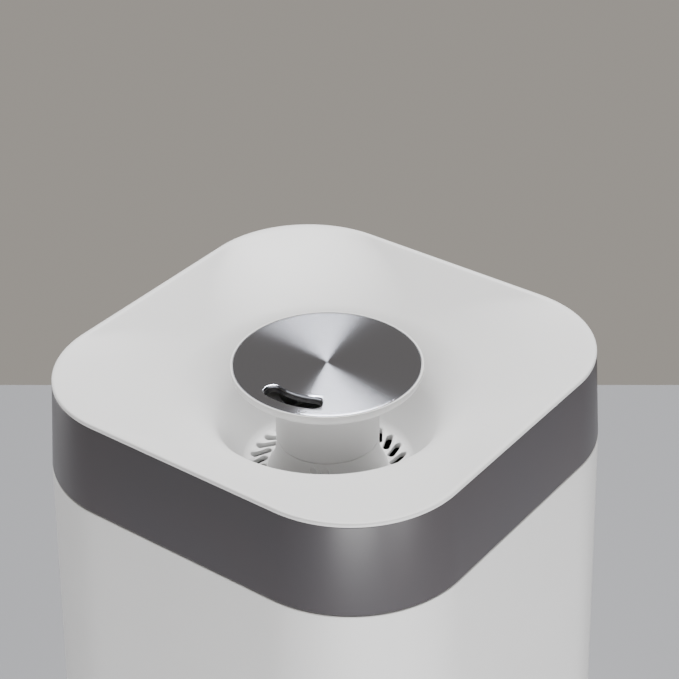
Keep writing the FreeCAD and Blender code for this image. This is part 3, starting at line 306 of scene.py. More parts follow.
def cut_holes(piece, cutters):
    """Cut round holes, each a closed turned patch, through a piece, and keep only the result."""
    for number, patch in enumerate(cutters):
        cutter = link_object(f"cutter_{number}", merged_mesh(f"cutter_{number}", *patch))
        cut = piece.modifiers.new("cut", "BOOLEAN")
        cut.object, cut.operation, cut.solver = cutter, "DIFFERENCE", "EXACT"
        evaluated = piece.evaluated_get(bpy.context.evaluated_depsgraph_get())
        result = bpy.data.meshes.new_from_object(evaluated)
        piece.modifiers.clear()
        piece.data = result
        bpy.data.objects.remove(cutter)
    smooth_mesh(piece.data)


def plug_patch(radius, start, end, centre, facing):
    """A closed cylinder between two distances along its axis."""
    return grid_patch(turned_rows([(0, start), (radius, start), (radius, end), (0, end)], around(96),
                                  centre, facing))


# ---- shader expressions -------------------------------------------------------------------------

class Node:
    """Adds nodes to a material; every call returns one of the new node's sockets."""

    def __init__(self, material):
        self.tree = material.node_tree

    def add(self, kind, settings=None, inputs=None, output=0):
        node = self.tree.nodes.new(kind)
        for name, value in (settings or {}).items():
            setattr(node, name, value)
        for name, value in (inputs or {}).items():
            self.feed(node.inputs[name], value)
        return Value(self, node.outputs[output])

    def feed(self, socket, value):
        if isinstance(value, Value):
            self.tree.links.new(value.socket, socket)
        elif hasattr(value, "__len__") and len(value) == 3 and socket.type == "RGBA":
            socket.default_value = (*value, 1)
        else:
            socket.default_value = value


class Value:
    """A number socket that takes part in Python expressions."""

    def __init__(self, owner, socket):
        self.owner = owner
        self.socket = socket

    def math(self, operation, *others):
        inputs = {0: self}
        inputs.update({number + 1: other for number, other in enumerate(others)})
        return self.owner.add("ShaderNodeMath", {"operation": operation}, inputs)

    def __add__(self, other):
        return self.math("ADD", other)

    def __radd__(self, other):
        return self.math("ADD", other)

    def __mul__(self, other):
        return self.math("MULTIPLY", other)


def new_material(name, **constants):
    """A Principled material with its constants set on the shader's own sockets."""
    material = bpy.data.materials.new(name)
    material.use_nodes = True
    shader = material.node_tree.nodes["Principled BSDF"]
    for socket, value in constants.items():
        shader.inputs[socket.replace("_", " ")].default_value = value
    return material, Node(material), shader


def object_point(node):
    return node.add("ShaderNodeTexCoord", output=3)


def noise(node, scale, detail=4.0, point=None):
    """Noise on object coordinates, with the scale in cycles a metre."""
    point = point or object_point(node)
    return node.add("ShaderNodeTexNoise", inputs={"Vector": point, "Scale": scale, "Detail": detail})


def mix_colour(node, factor, first, second):
    return node.add("ShaderNodeMix", {"data_type": "RGBA"}, {0: factor, 6: first, 7: second}, output=2)


def bump(node, height, distance):
    return node.add("ShaderNodeBump", inputs={"Height": height, "Distance": distance})


def shade(colour, factor):
    return tuple(channel * factor for channel in colour)


def moulded_plastic(name, colour, roughness, grain=0.00002, grain_scale=2600.0, mottling=0.02):
    """Moulded plastic: faint mottling of colour and gloss over a fine moulded grain."""
    material, node, shader = new_material(name, IOR=1.46)
    mottle = noise(node, 28.0, 3.0)
    node.feed(shader.inputs["Base Color"],
              mix_colour(node, mottle, shade(colour, 1 - mottling), shade(colour, 1 + mottling)))
    node.feed(shader.inputs["Roughness"], roughness - 0.04 + mottle * 0.08)
    node.feed(shader.inputs["Normal"], bump(node, noise(node, grain_scale, 2.0), grain))
    return material


def worn_metal(name, dark, light, roughness):
    """Plain metal whose colour and gloss vary with fine handling wear."""
    material, node, shader = new_material(name, Metallic=1.0)
    wear = noise(node, 300.0, 5.0)
    node.feed(shader.inputs["Base Color"], mix_colour(node, wear, dark, light))
    node.feed(shader.inputs["Roughness"], roughness + wear * 0.2)
    node.feed(shader.inputs["Normal"], bump(node, noise(node, 1800.0), 0.00001))
    return material


def smoke_plastic(name):
    """Dark glossy tank wall: a polished face with very slight colour drift and a clear coat."""
    material, node, shader = new_material(name, IOR=1.42, Coat_Weight=0.1, Coat_Roughness=0.2)
    colour = tuple(colours().smoke)
    drift = noise(node, 14.0, 2.0)
    warm = (colour[0] * 1.12, colour[1], colour[2] * 1.02)
    cool = (colour[0] * 0.96, colour[1] * 0.98, colour[2] * 1.08)
    node.feed(shader.inputs["Base Color"], mix_colour(node, drift, warm, cool))
    node.feed(shader.inputs["Roughness"], 0.34 + drift * 0.08)
    node.feed(shader.inputs["Normal"], bump(node, noise(node, 900.0, 2.0), 0.000006))
    return material


def turning_marks(node, centre, across):
    """Noise that depends only on the distance from an axis: the fine rings that a lathe leaves."""
    shifted = node.add("ShaderNodeMapping", inputs={"Vector": object_point(node),
                                                    "Location": tuple(-item for item in centre)})
    axes = [node.add("ShaderNodeSeparateXYZ", inputs={"Vector": shifted}, output=item) for item in across]
    radius = (axes[0] * axes[0] + axes[1] * axes[1]).math("SQRT")
    ring = node.add("ShaderNodeCombineXYZ", inputs={"X": radius})
    return noise(node, 2400.0, 3.0, ring)


def spun_metal(name, centre=(0, 0, 0), across=(0, 1), anisotropy=1.0):
    """Spun metal: gloss stretched along fine turning marks round the piece's own middle."""
    material, node, shader = new_material(name, Metallic=1.0, Anisotropic=anisotropy,
                                          Anisotropic_Rotation=0.25)
    marks = turning_marks(node, centre, across)
    colour = tuple(colours().metal)
    node.feed(shader.inputs["Base Color"], mix_colour(node, marks, shade(colour, 0.86), shade(colour, 1.14)))
    node.feed(shader.inputs["Roughness"], 0.135 + marks * 0.035)
    node.feed(shader.inputs["Normal"], bump(node, marks, 0.000004))
    return material


def knob_metal(name):
    """The same metal on the dial, turned about the dial's own axis."""
    centre = (middle("dial_knob", 0), 0, middle("dial_knob", 2))
    return spun_metal(name, centre, (0, 2), 0.0)


def circuit_board(name):
    """Green solder mask over the slightly raised mesh of its copper tracks."""
    material, node, shader = new_material(name, Coat_Weight=0.4, Coat_Roughness=0.15)
    tracks = node.add("ShaderNodeTexBrick", inputs={"Vector": object_point(node), "Scale": 130.0,
                                                    "Mortar Size": 0.06}, output=1)
    node.feed(shader.inputs["Base Color"], mix_colour(node, tracks, (0.012, 0.12, 0.04), (0.03, 0.21, 0.08)))
    node.feed(shader.inputs["Roughness"], 0.34 + noise(node, 200.0) * 0.1)
    node.feed(shader.inputs["Normal"], bump(node, tracks, 0.00004))
    return material


def filter_foam(name):
    """Open-celled foam: painted shade darkens the pores between lighter cell walls."""
    material, node, shader = new_material(name, Sheen_Weight=0.2)
    pores = node.add("ShaderNodeTexVoronoi", inputs={"Vector": object_point(node), "Scale": 900.0})
    # painted shade: the pores get a darker colour than the cell walls
    node.feed(shader.inputs["Base Color"], mix_colour(node, pores, (0.01, 0.01, 0.011), (0.06, 0.06, 0.065)))
    node.feed(shader.inputs["Roughness"], 0.85 + pores * 0.1)
    node.feed(shader.inputs["Normal"], bump(node, pores, 0.0004))
    return material


def indicator_glow(name):
    """A milky lens with a faint cool light behind it."""
    material, node, shader = new_material(name, IOR=1.49, Coat_Weight=0.5, Emission_Strength=0.6)
    cloud = noise(node, 500.0, 2.0)
    node.feed(shader.inputs["Base Color"], mix_colour(node, cloud, (0.55, 0.66, 0.72), (0.66, 0.76, 0.8)))
    node.feed(shader.inputs["Emission Color"], mix_colour(node, cloud, (0.22, 0.5, 0.66), (0.3, 0.6, 0.75)))
    node.feed(shader.inputs["Roughness"], 0.18 + cloud * 0.08)
    return material


FINISHES = {
    "white_plastic": lambda name: moulded_plastic(name, tuple(colours().white), 0.42),
    "grey_plastic": lambda name: moulded_plastic(name, (0.36, 0.37, 0.39), 0.45),
    "dark_plastic": lambda name: moulded_plastic(name, (0.022, 0.022, 0.025), 0.5),
    "silicone": lambda name: moulded_plastic(name, (0.52, 0.52, 0.51), 0.6, 0.00003, 1500.0),
    "ceramic": lambda name: moulded_plastic(name, (0.72, 0.71, 0.68), 0.3),
    "steel": lambda name: worn_metal(name, (0.42, 0.42, 0.44), (0.6, 0.6, 0.62), 0.28),
    "heat_sink": lambda name: worn_metal(name, (0.5, 0.5, 0.52), (0.66, 0.66, 0.68), 0.36),
    "smoke_plastic": smoke_plastic,
    "spun_metal": spun_metal,
    "knob_metal": knob_metal,
    "circuit_board": circuit_board,
    "filter_foam": filter_foam,
    "indicator_glow": indicator_glow,
}
MADE = {}


def finish(name):
    """The finish of this name, made the first time that it is asked for.

    The frame brings plain materials under the same names, so these carry their own.
    """
    if name not in MADE:
        MADE[name] = FINISHES[name](f"finish_{name}")
    return MADE[name]


# ---- tray ---------------------------------------------------------------------------------------

class Bowl:
    """The bowl's section: a steep wall, the bell mouth's arc and a gentle slope up to the lip."""

    def __init__(self):
        s = shape()
        self.straight = RIM_HALF - s.corner
        self.floor = TRAY_UNDERSIDE + s.wall
        self.lip_half = RIM_HALF - s.lip_width
        self.depth = RIM_TOP - self.floor
        steep, gentle = math.tan(s.well_angle), math.tan(s.slope_angle)
        bend = (self.depth - self.lip_half * gentle + s.well_radius * steep) / (steep - gentle)
        reach = s.bell_radius * math.tan((s.well_angle - s.slope_angle) / 2)
        start = bend - reach * math.cos(s.well_angle)
        start_rise = (bend - s.well_radius) * steep - reach * math.sin(s.well_angle)
        angles = np.linspace(s.well_angle, s.slope_angle, 28)
        arc_half = start + s.bell_radius * (math.sin(s.well_angle) - np.sin(angles))
        arc_rise = start_rise + s.bell_radius * (np.cos(angles) - math.cos(s.well_angle))
        up_wall, up_slope = np.linspace(0, 1, 6)[:-1], np.linspace(0, 1, 26)[1:]
        self.half = np.concatenate([s.well_radius + (start - s.well_radius) * up_wall, arc_half,
                                    arc_half[-1] + (self.lip_half - arc_half[-1]) * up_slope])
        self.rise = np.concatenate([start_rise * up_wall, arc_rise,
                                    arc_rise[-1] + (self.depth - arc_rise[-1]) * up_slope])
        self.steepness = np.concatenate([np.full(5, s.well_angle), angles, np.full(25, s.slope_angle)])

    def corner(self, half, wide=None):
        """Corner radius: round in the well, turning with the cube of the way out to the lip's own."""
        s = shape()
        lip_share = (self.lip_half - self.straight) / self.lip_half
        share = np.clip((half - s.well_radius) / (self.lip_half - s.well_radius), 0, 1)
        return (half if wide is None else wide) * (1 - share ** 3 * (1 - lip_share))

    def lift(self, radius):
        """Height over the floor that the fillet at the foot of the wall gives at a radius."""
        s = shape()
        start = s.well_radius - s.floor_fillet * math.tan(s.well_angle / 2)
        out = np.clip(radius - start, 0, s.floor_fillet * math.sin(s.well_angle))
        return s.floor_fillet - np.sqrt(s.floor_fillet ** 2 - out ** 2)

    def underside(self, wall):
        """The section moved outwards, square to itself, by the wall."""
        return (self.half + np.sin(self.steepness) * wall,
                self.floor + self.rise - np.cos(self.steepness) * wall)


def fillet_between(before, corner, after, radius, steps=7):
    """Points of the one arc that rounds a corner between two neighbours."""
    return rounded([before, corner, after], [0, radius, 0], steps)[steps:2 * steps]


def tray_rows(ring_radius):
    """The tray's skin from the floor's outer ring up, over the lip and back under to that ring."""
    s, bowl = shape(), Bowl()
    skirt_half = middle("tray_seal", 0) + span("tray_seal", 0)[1] - 1.3 * MM
    skirt_foot = TANK_TOP - 10 * MM
    inside = np.stack([bowl.half, bowl.floor + bowl.rise], 1)
    tangent = s.well_radius - s.floor_fillet * (math.tan(s.well_angle / 2) - math.sin(s.well_angle))
    foot_half = np.linspace(ring_radius, tangent, 9)
    foot = np.stack([foot_half, bowl.floor + bowl.lift(foot_half)], 1)
    wall = inside[:-2][bowl.half[:-2] > tangent + 0.3 * MM]
    crest = fillet_between(inside[-3], inside[-1], (RIM_HALF, RIM_TOP), 4 * MM)
    inner = np.concatenate([foot, wall, crest])
    outer = np.concatenate([
        fillet_between((bowl.lip_half, RIM_TOP), (RIM_HALF, RIM_TOP), (RIM_HALF, TANK_TOP), s.lip_round, 9),
        fillet_between((RIM_HALF, RIM_TOP), (RIM_HALF, TANK_TOP), (skirt_half, TANK_TOP), 0.25 * MM, 4),
        [(skirt_half, TANK_TOP), (skirt_half, skirt_foot), (skirt_half - 2 * MM, skirt_foot)]])
    under_half, under_level = bowl.underside(s.wall)
    kept = under_half < skirt_half - 2 * MM
    join_level = np.interp(skirt_half - 2 * MM, under_half, under_level)
    floor_half = under_half[0] - (under_level[0] - TRAY_UNDERSIDE) / math.tan(s.well_angle)
    under_wide, under_z = under_half[kept][::-1], under_level[kept][::-1]
    half = np.concatenate([inner[:, 0], outer[:, 0], [skirt_half - 2 * MM], under_wide,
                           [floor_half, ring_radius]])
    level = np.concatenate([inner[:, 1], outer[:, 1], [join_level], under_z,
                            [TRAY_UNDERSIDE, TRAY_UNDERSIDE]])
    corner = np.concatenate([bowl.corner(inner[:, 0]), outer[:, 0] - bowl.straight,
                             [bowl.corner(bowl.half[kept][-1], skirt_half - 2 * MM)],
                             bowl.corner(bowl.half[kept], under_half[kept])[::-1],
                             [floor_half, ring_radius]])
    return square_rows(half, level, corner)


def slot_cells(inner_ring, outer_ring, top, bottom):
    """The floor's ring of cells, each pierced by one slot.

    A cell is bounded by two arcs and two sides that lean with the swirl.  A slot is a straight
    groove with round ends; its points match the cell's, arc to end and side to side.
    """
    s = shape()
    arc_steps, side_steps = STEPS // s.slot_count, 10
    half_cell = np.pi / s.slot_count
    one_step = 2 * np.pi / STEPS
    radius = s.slot_width / 2
    near, far = s.slot_inner + radius, s.slot_outer - radius
    lean = s.slot_swirl / (far - near)
    outer_turn = round(lean * (outer_ring - far) / one_step) * one_step
    inner_turn = outer_turn - round(lean * (outer_ring - inner_ring) / one_step) * one_step
    across = np.linspace(-half_cell, half_cell, arc_steps, endpoint=False)
    share = np.linspace(0, 1, side_steps, endpoint=False)

    def spot(rise, offset):
        turn = inner_turn + (outer_turn - inner_turn) * rise
        return (inner_ring + (outer_ring - inner_ring) * rise) * np.exp(1j * (turn + offset))

    edge = np.concatenate([spot(1, across), spot(1 - share, half_cell), spot(0, -across),
                           spot(share, -half_cell)])
    start, end = near * np.exp(-1j * s.slot_swirl), far + 0j
    along = (end - start) / abs(end - start)
    round_end = np.exp(1j * np.linspace(-np.pi / 2, np.pi / 2, arc_steps, endpoint=False))

    def outline(growth):
        side = 1j * along * (radius + growth)
        cap = along * (radius + growth) * round_end
        return np.concatenate([end + cap, end + side + (start - end) * share, start - cap,
                               start - side + (end - start) * share])

    loops, levels = hole_rings(edge, outline, top, bottom)
    levels = levels + np.zeros(loops.shape)
    upper = slice(0, len(levels) // 2)
    levels[upper] += Bowl().lift(np.abs(loops[upper]))
    return [grid_patch(flat_points(loops * np.exp(1j * 2 * half_cell * number), levels))
            for number in range(s.slot_count)]


def make_tray():
    s = shape()
    floor = TRAY_UNDERSIDE + s.wall
    collar_ring, wall_ring = span("nozzle_collar", 0)[1] - 0.1 * MM, s.well_radius - 0.55 * MM
    centre = [(collar_ring, floor), (TRAY_HOLE, floor), (TRAY_HOLE, TRAY_UNDERSIDE),
              (collar_ring, TRAY_UNDERSIDE)]
    patches = [grid_patch(tray_rows(wall_ring)), grid_patch(turned_rows(centre, around()))]
    patches += slot_cells(collar_ring, wall_ring, floor, TRAY_UNDERSIDE)
    make_piece("bowl_tray", patches, "white_plastic", "tray", "top_tray")


# ---- nozzle -------------------------------------------------------------------------------------

def mist_slot_loop(growth):
    """The mist slot grown by a distance: two arcs about the axis joined by round ends."""
    s = shape()
    arc = np.exp(1j * s.kidney_spread * np.linspace(-1, 1, ARC_STEPS, endpoint=False))
    end = np.exp(1j * s.kidney_spread)
    width = s.kidney_half_width + growth
    cap = width * np.exp(1j * np.pi * np.linspace(0, 1, END_STEPS, endpoint=False))
    loop = np.concatenate([(s.kidney_radius + width) * arc, end * (s.kidney_radius + cap),
                           (s.kidney_radius - width) * arc.conj(),
                           end.conj() * (s.kidney_radius - cap)])
    return loop * np.exp(1j * s.kidney_turn)


def pierced_plate(top, top_radius, bottom, bottom_radius):
    """Both faces of a round plate, each out to its radius, and the mist slot through them.

    Rings of points fill the plate except for one cell round the slot, whose points match the
    slot's, arc to arc and side to end.
    """
    s = shape()
    half_cell = math.radians(26)
    near, far = s.kidney_radius - s.kidney_half_width, s.kidney_radius + s.kidney_half_width
    inner_ring, outer_ring = near - SLOT_MARGIN, far + SLOT_MARGIN
    turn = np.exp(1j * s.kidney_turn)
    across = np.linspace(-1, 1, ARC_STEPS, endpoint=False)
    share = np.linspace(0, 1, END_STEPS, endpoint=False)
    rise = inner_ring + (outer_ring - inner_ring) * share
    fall = outer_ring - (outer_ring - inner_ring) * share
    side = np.exp(1j * half_cell)
    edge = np.concatenate([outer_ring * np.exp(1j * half_cell * across), fall * side,
                           inner_ring * np.exp(-1j * half_cell * across), rise * side.conj()])
    loops, levels = hole_rings(edge * turn, mist_slot_loop, top, bottom)
    beside = np.linspace(half_cell, 2 * np.pi - half_cell, STEPS - ARC_STEPS + 1)
    beside_radii = np.linspace(inner_ring, outer_ring, END_STEPS + 1)[:, None]
    beside_points = beside_radii * np.exp(1j * beside) * turn
    patches = [grid_patch(flat_points(loops, levels))]
    for level, radius in ((top, top_radius), (bottom, bottom_radius)):
        patches.append(grid_patch(flat_points(beside_points, level), closed_columns=False))
        inside = [(0, level), (inner_ring * 0.5, level), (inner_ring, level)]
        outside = [(outer_ring, level), (radius, level)]
        patches += [grid_patch(turned_rows(rows, around(turn=s.kidney_turn)))
                    for rows in (inside, outside)]
    return patches


def make_painted_shade_sleeve():
    """A dark sheet inside the head's mist slot that paints shade on its white walls: the slot's outline
    carried down through the plate.
    """
    depth, wall, gap = 2 * MM, 0.3 * MM, 0.05 * MM
    inner, outer = mist_slot_loop(-gap - wall), mist_slot_loop(-gap)
    top, bottom = PLATE_TOP - gap, PLATE_TOP - depth
    rows = flat_points(np.stack([inner, outer, outer, inner]),
                       np.array([top, top, bottom, bottom])[:, None])
    # painted shade: dark plastic lines the slot's walls where the white head lies in shade
    make_piece("slot_lining", [grid_patch(rows, closed_rows=True)], "dark_plastic", "nozzle")


def open_outline(corners, radii, steps=6):
    """An outline that starts at its first corner and ends at its last, rounded in between."""
    points = rounded(corners, radii, steps).reshape(len(corners), steps, 2)
    return np.concatenate([[corners[0]], points[1:-1].reshape(-1, 2), [corners[-1]]])


def make_disc():
    radius = span("nozzle_disc", 0)[1]
    edge = 0.25 * MM
    ring = radius - 1.5 * MM
    side = open_outline([(ring, DISC_TOP), (radius, DISC_TOP), (radius, PLATE_TOP), (ring, PLATE_TOP)],
                        [0, edge, edge, 0])
    patches = pierced_plate(DISC_TOP, ring, PLATE_TOP, ring)
    patches.append(grid_patch(turned_rows(side, around(turn=shape().kidney_turn))))
    make_piece("spun_disc", patches, "spun_metal", "nozzle", "nozzle_disc")


def make_head():
    foot, top = span("nozzle_head", 2)
    cap = span("nozzle_head", 0)[1]
    column, bore, plate = COLUMN_RADIUS, COLUMN_BORE, 2.2 * MM
    rim_height, cap_height, chamber_wall, disc_gap = 5.2 * MM, 16.2 * MM, 5 * MM, 0.3 * MM
    recess = span("nozzle_disc", 0)[1] + disc_gap
    rim_foot, cone_foot = top - rim_height, top - cap_height
    underside = PLATE_TOP - plate
    ring, lower_ring = recess - 2 * MM, recess - 4 * MM
    chamber = cap - chamber_wall
    edge = shape().edge
    corners = [(ring, PLATE_TOP), (recess, PLATE_TOP), (recess, top), (cap, top), (cap, rim_foot + plate),
               (cap - plate, rim_foot), (column, cone_foot), (column, foot), (bore, foot),
               (bore, cone_foot + plate), (chamber, underside - plate), (chamber, underside),
               (lower_ring, underside)]
    radii = [0, 0.15 * MM, 0.3 * MM, 0.45 * MM, 2.6 * MM, 2.6 * MM, 5 * MM, edge * 0.5, edge * 0.5,
             4 * MM, edge, edge, 0]
    section = open_outline(corners, radii, 9)
    patches = pierced_plate(PLATE_TOP, ring, underside, lower_ring)
    patches.append(grid_patch(turned_rows(section, around(turn=shape().kidney_turn))))
    make_piece("mist_head", patches, "white_plastic", "nozzle", "nozzle_head")


def collar_section():
    """The collar's closed section and its sweep: a skirt in the tray's hole, a foot, and a spigot."""
    low, high = span("nozzle_collar", 2)
    foot = span("nozzle_collar", 0)[1]
    floor = TRAY_UNDERSIDE + shape().wall
    top, column, radius = floor + COLLAR_RISE, COLUMN_RADIUS, COLLAR_FLARE
    chord = complex(column - foot, top - floor)
    centre = (complex(foot, floor) + complex(column, top)) / 2
    centre += -1j * chord / abs(chord) * math.sqrt(radius ** 2 - abs(chord) ** 2 / 4)
    first, last = complex(foot, floor) - centre, complex(column, top) - centre
    turn = np.linspace(0, np.angle(last / first), 26)
    sweep = centre + first * np.exp(1j * turn)
    edge = shape().edge * 0.5
    cap = fillet_between((sweep[-2].real, sweep[-2].imag), (column, top), (SPIGOT_RADIUS, top), edge)
    swept = np.stack([sweep.real, sweep.imag], 1)
    section = np.concatenate([[(COLLAR_BORE, low), (SKIRT_RADIUS, low), (SKIRT_RADIUS, floor)],
                              swept[:-1], cap,
                              [(SPIGOT_RADIUS, top), (SPIGOT_RADIUS, high), (COLLAR_BORE, high)]])
    return section, swept


def make_collar():
    section, swept = collar_section()
    make_piece("sweep_collar", [grid_patch(turned_rows(section, around()), closed_rows=True)],
               "white_plastic", "nozzle_base", "nozzle_collar")
    make_collar_marks(swept)


def make_collar_marks(swept):
    """Two small raised rings side by side near the collar's top: a ring carried round a circle.

    Each point is the ring's centre, plus its circle in the plane that touches the collar, plus the
    bead's own circle.
    """
    ring_radius, bead, half_spacing, drop = 1.9 * MM, 0.4 * MM, 6.8, 4.3 * MM
    level = swept[-1, 1] - drop
    radius = np.interp(level, swept[:, 1], swept[:, 0])
    patches = []
    for offset in (-half_spacing, half_spacing):
        azimuth = math.radians(MARKS_AZIMUTH + offset)
        outwards = np.array([math.cos(azimuth), math.sin(azimuth), 0])
        sideways = np.array([-math.sin(azimuth), math.cos(azimuth), 0])
        upwards = np.array([0, 0, 1.0])
        round_ring, round_bead = around(40)[:, None, None], around(12)[None, :, None]
        spoke = sideways * np.cos(round_ring) + upwards * np.sin(round_ring)
        points = outwards * radius + upwards * level + spoke * (ring_radius + bead * np.cos(round_bead))
        points = points + outwards * bead * np.sin(round_bead)
        patches.append(grid_patch(points, closed_rows=True))
    make_piece("alignment_marks", patches, "white_plastic", "nozzle_base")


# ---- tank and housing ---------------------------------------------------------------------------

def square_section(corners, radii, straight, circle):
    """Closed rows from a section whose outlines are rounded squares outside and circles inside."""
    section = rounded(corners, radii)
    half, level = section[:, 0], section[:, 1]
    wide = TANK_HALF - TANK_WALL
    corner = np.interp(half, [0, circle, wide, HOUSING_HALF], [0, circle, wide - straight,
                                                               HOUSING_HALF - straight])
    return grid_patch(square_rows(half, level, corner), closed_rows=True)


def make_tank():
    s = shape()
    straight = RIM_HALF - s.corner
    band_foot, chimney, bore = BAND_FOOT, CHIMNEY_RADIUS, CHIMNEY_BORE
    band_wall, wall, floor = BAND_WALL, TANK_WALL, TANK_FLOOR
    chimney_gap, port_radius, port_drop, port_rise = 3 * MM, 14 * MM, 5 * MM, 8 * MM
    chimney_top = TRAY_UNDERSIDE - chimney_gap
    shoulder = BAND_HALF - (BAND_HALF - RIM_HALF) * floor / (TANK_TOP - band_foot) - band_wall
    corners = [(TANK_HALF, TANK_FOOT), (TANK_HALF, band_foot), (BAND_HALF, band_foot),
               (RIM_HALF, TANK_TOP), (RIM_HALF - band_wall, TANK_TOP), (shoulder, band_foot + floor),
               (TANK_HALF - wall, band_foot + floor), (TANK_HALF - wall, TANK_FOOT + floor),
               (chimney, TANK_FOOT + floor), (chimney, chimney_top), (bore, chimney_top),
               (bore, TANK_FOOT)]
    radii = np.array([2.5, 0.5, 0.7, 0.35, 0.4, 1, 0.5, 2, 1.5, 0.6, 0.6, 0.4]) * MM
    tank = make_piece("smoke_tank", [square_section(corners, radii, straight, chimney)],
                      "smoke_plastic", "tank", "water_tank")
    port = plug_patch(port_radius, TANK_FOOT - port_drop, TANK_FOOT + port_rise,
                      (middle("valve_gasket", 0), middle("valve_gasket", 1), 0), "up")
    cut_holes(tank, [port])


def make_spring():
    """The valve's spring: a round wire carried up a helix and closed by a point at each end.

    Each point is the helix's own, plus the wire's circle in the plane of the axis and that point.
    """
    low, high = span("valve_spring", 2)
    left, right = span("valve_spring", 0)
    axis_x = middle("valve_gasket", 0)
    wire, turns = 0.4 * MM, 5
    coil = (right - left) / 2 - wire
    turned = np.linspace(0, 2 * np.pi * turns, 48 * turns + 1)[:, None]
    thickness = np.full((len(turned), 1), wire)
    thickness[[0, -1]] = 0
    around_wire = around(12)[None, :]
    radius = coil + thickness * np.cos(around_wire)
    climb = (high - low - 2 * wire) * turned / turned[-1]
    level = low + wire + climb + thickness * np.sin(around_wire)
    points = np.stack([axis_x + radius * np.cos(turned), radius * np.sin(turned), level], -1)
    spring = make_piece("coiled_spring", [grid_patch(points)], "steel", "tank", "valve_spring")
    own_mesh(spring)


def make_housing():
    straight = RIM_HALF - shape().corner
    wall, ledge, ledge_width, ledge_drop = HOUSING_WALL, 4 * MM, 5 * MM, 3 * MM
    ledge_top = span("basin", 2)[1] - ledge_drop

    def inner_half(level):
        return housing_half(level) - wall

    ledge_half = inner_half(ledge_top - ledge) - ledge_width
    corners = [(HOUSING_HALF, HOUSING_FOOT), (BAND_HALF, HOUSING_TOP), (BAND_HALF - wall, HOUSING_TOP),
               (inner_half(ledge_top), ledge_top), (ledge_half, ledge_top), (ledge_half, ledge_top - ledge),
               (inner_half(ledge_top - ledge), ledge_top - ledge), (HOUSING_HALF - wall, HOUSING_FOOT)]
    radii = np.array([1.5, 0.7, 0.6, 0.4, 0.5, 0.5, 0.4, 0.5]) * MM
    housing = make_piece("housing_shell", [square_section(corners, radii, straight, CHIMNEY_RADIUS)],
                         "white_plastic", "base", "outer_housing")
    front, back = HOUSING_HALF * 0.9, HOUSING_HALF * 1.1
    cup_hole = (CUP_HOLE, front, back, (0, 0, middle("dial_cup", 2)))
    lens_hole = (LENS_HOLE, front, back, (0, 0, middle("indicator_lens", 2)))
    inlet_place = (middle("power_inlet", 0), 0, middle("power_inlet", 2))
    inlet_hole = (INLET_HOLE, -back, -front, inlet_place)
    cut_holes(housing, [plug_patch(*hole, "front") for hole in (cup_hole, lens_hole, inlet_hole)])


# ---- dial, lens and feet ------------------------------------------------------------------------

def turned_front(name, corners, radii, node, slot, body):
    """A turned piece whose axis is level; its corners are (radius, distance to the front)."""
    section = rounded(corners, radii)
    rows = turned_rows(section, around(144), (middle(node, 0), 0, middle(node, 2)), "front")
    return make_piece(name, [grid_patch(rows, closed_rows=True)], slot, body, node)


def make_dial():
    front = -span("dial_cup", 1)[0]
    rear = -span("dial_cup", 1)[1]
    depth, flange_depth, flange_gap = 9.5 * MM, 2 * MM, 0.4 * MM
    back = front - depth
    bore, cup, outside, flange_out = 3.4 * MM, 20 * MM, 22 * MM, 25 * MM
    flange = housing_half(middle("dial_cup", 2) + cup) - HOUSING_WALL - flange_gap
    flange_back = flange - flange_depth
    turned_front("dial_recess", [(bore, rear), (outside, rear), (outside, flange_back),
                                 (flange_out, flange_back), (flange_out, flange), (outside, flange),
                                 (outside, front), (cup, front), (cup, back), (bore, back)],
                 np.array([0.2, 0.5, 0.2, 0.4, 0.4, 0.2, 0.7, 0.7, 1.2, 0.2]) * MM, "dial_cup",
                 "white_plastic", "base")
    knob_foot, knob_top = -span("dial_knob", 1)[1], -span("dial_knob", 1)[0]
    radius, shaft = span("dial_knob", 0)[1], 3.05 * MM
    socket = knob_foot + (knob_top - knob_foot) * 0.7
    knob = turned_front("turned_knob", [(shaft, knob_foot), (radius, knob_foot), (radius, knob_top),
                                        (0, knob_top), (0, socket), (shaft, socket)],
                        np.array([0.2, 0.4, 0.9, 0, 0, 0.2]) * MM, "dial_knob", "knob_metal", "dial")
    make_dial_mark(knob_top, radius)


def make_dial_mark(face, radius):
    """A short raised bar on the knob: a stadium outline carried outwards with a rounded edge."""
    half_length, half_width, height = radius * 0.22, 0.8 * MM, 0.35 * MM
    ends = np.where(np.arange(32) < 16, 1, -1)
    angles = np.linspace(0, np.pi, 16)
    loop = np.exp(1j * np.concatenate([angles, angles + np.pi])) + 0j
    shrink = np.array([1, 1, 0.8, 0.35, 0])[:, None]
    rises = np.array([-0.4, 0.5, 0.92, 1, 1])[:, None] * height
    across = loop.real * half_width * shrink
    upright = loop.imag * half_width * shrink + ends * half_length
    points = np.stack([middle("dial_knob", 0) + across, -(face + rises) + 0 * across,
                       middle("dial_knob", 2) + radius * 0.6 + upright], -1)
    top = points[-1]
    cover = np.stack([top[:16], top[16:][::-1]])
    foot = np.stack([points[0][:16], points[0][16:][::-1]])
    patches = [grid_patch(points), grid_patch(cover, closed_columns=False),
               grid_patch(foot, closed_columns=False)]
    make_piece("dial_mark", patches, "dark_plastic", "dial")


def make_lens():
    rear, front = -span("indicator_lens", 1)[1], -span("indicator_lens", 1)[0]
    radius = span("indicator_lens", 0)[1]
    lens = turned_front("glow_lens", [(0, rear), (radius, rear), (radius, front), (0, front)],
                        np.array([0, 0.2, 0.8, 0]) * MM, "indicator_lens", "indicator_glow", "base")


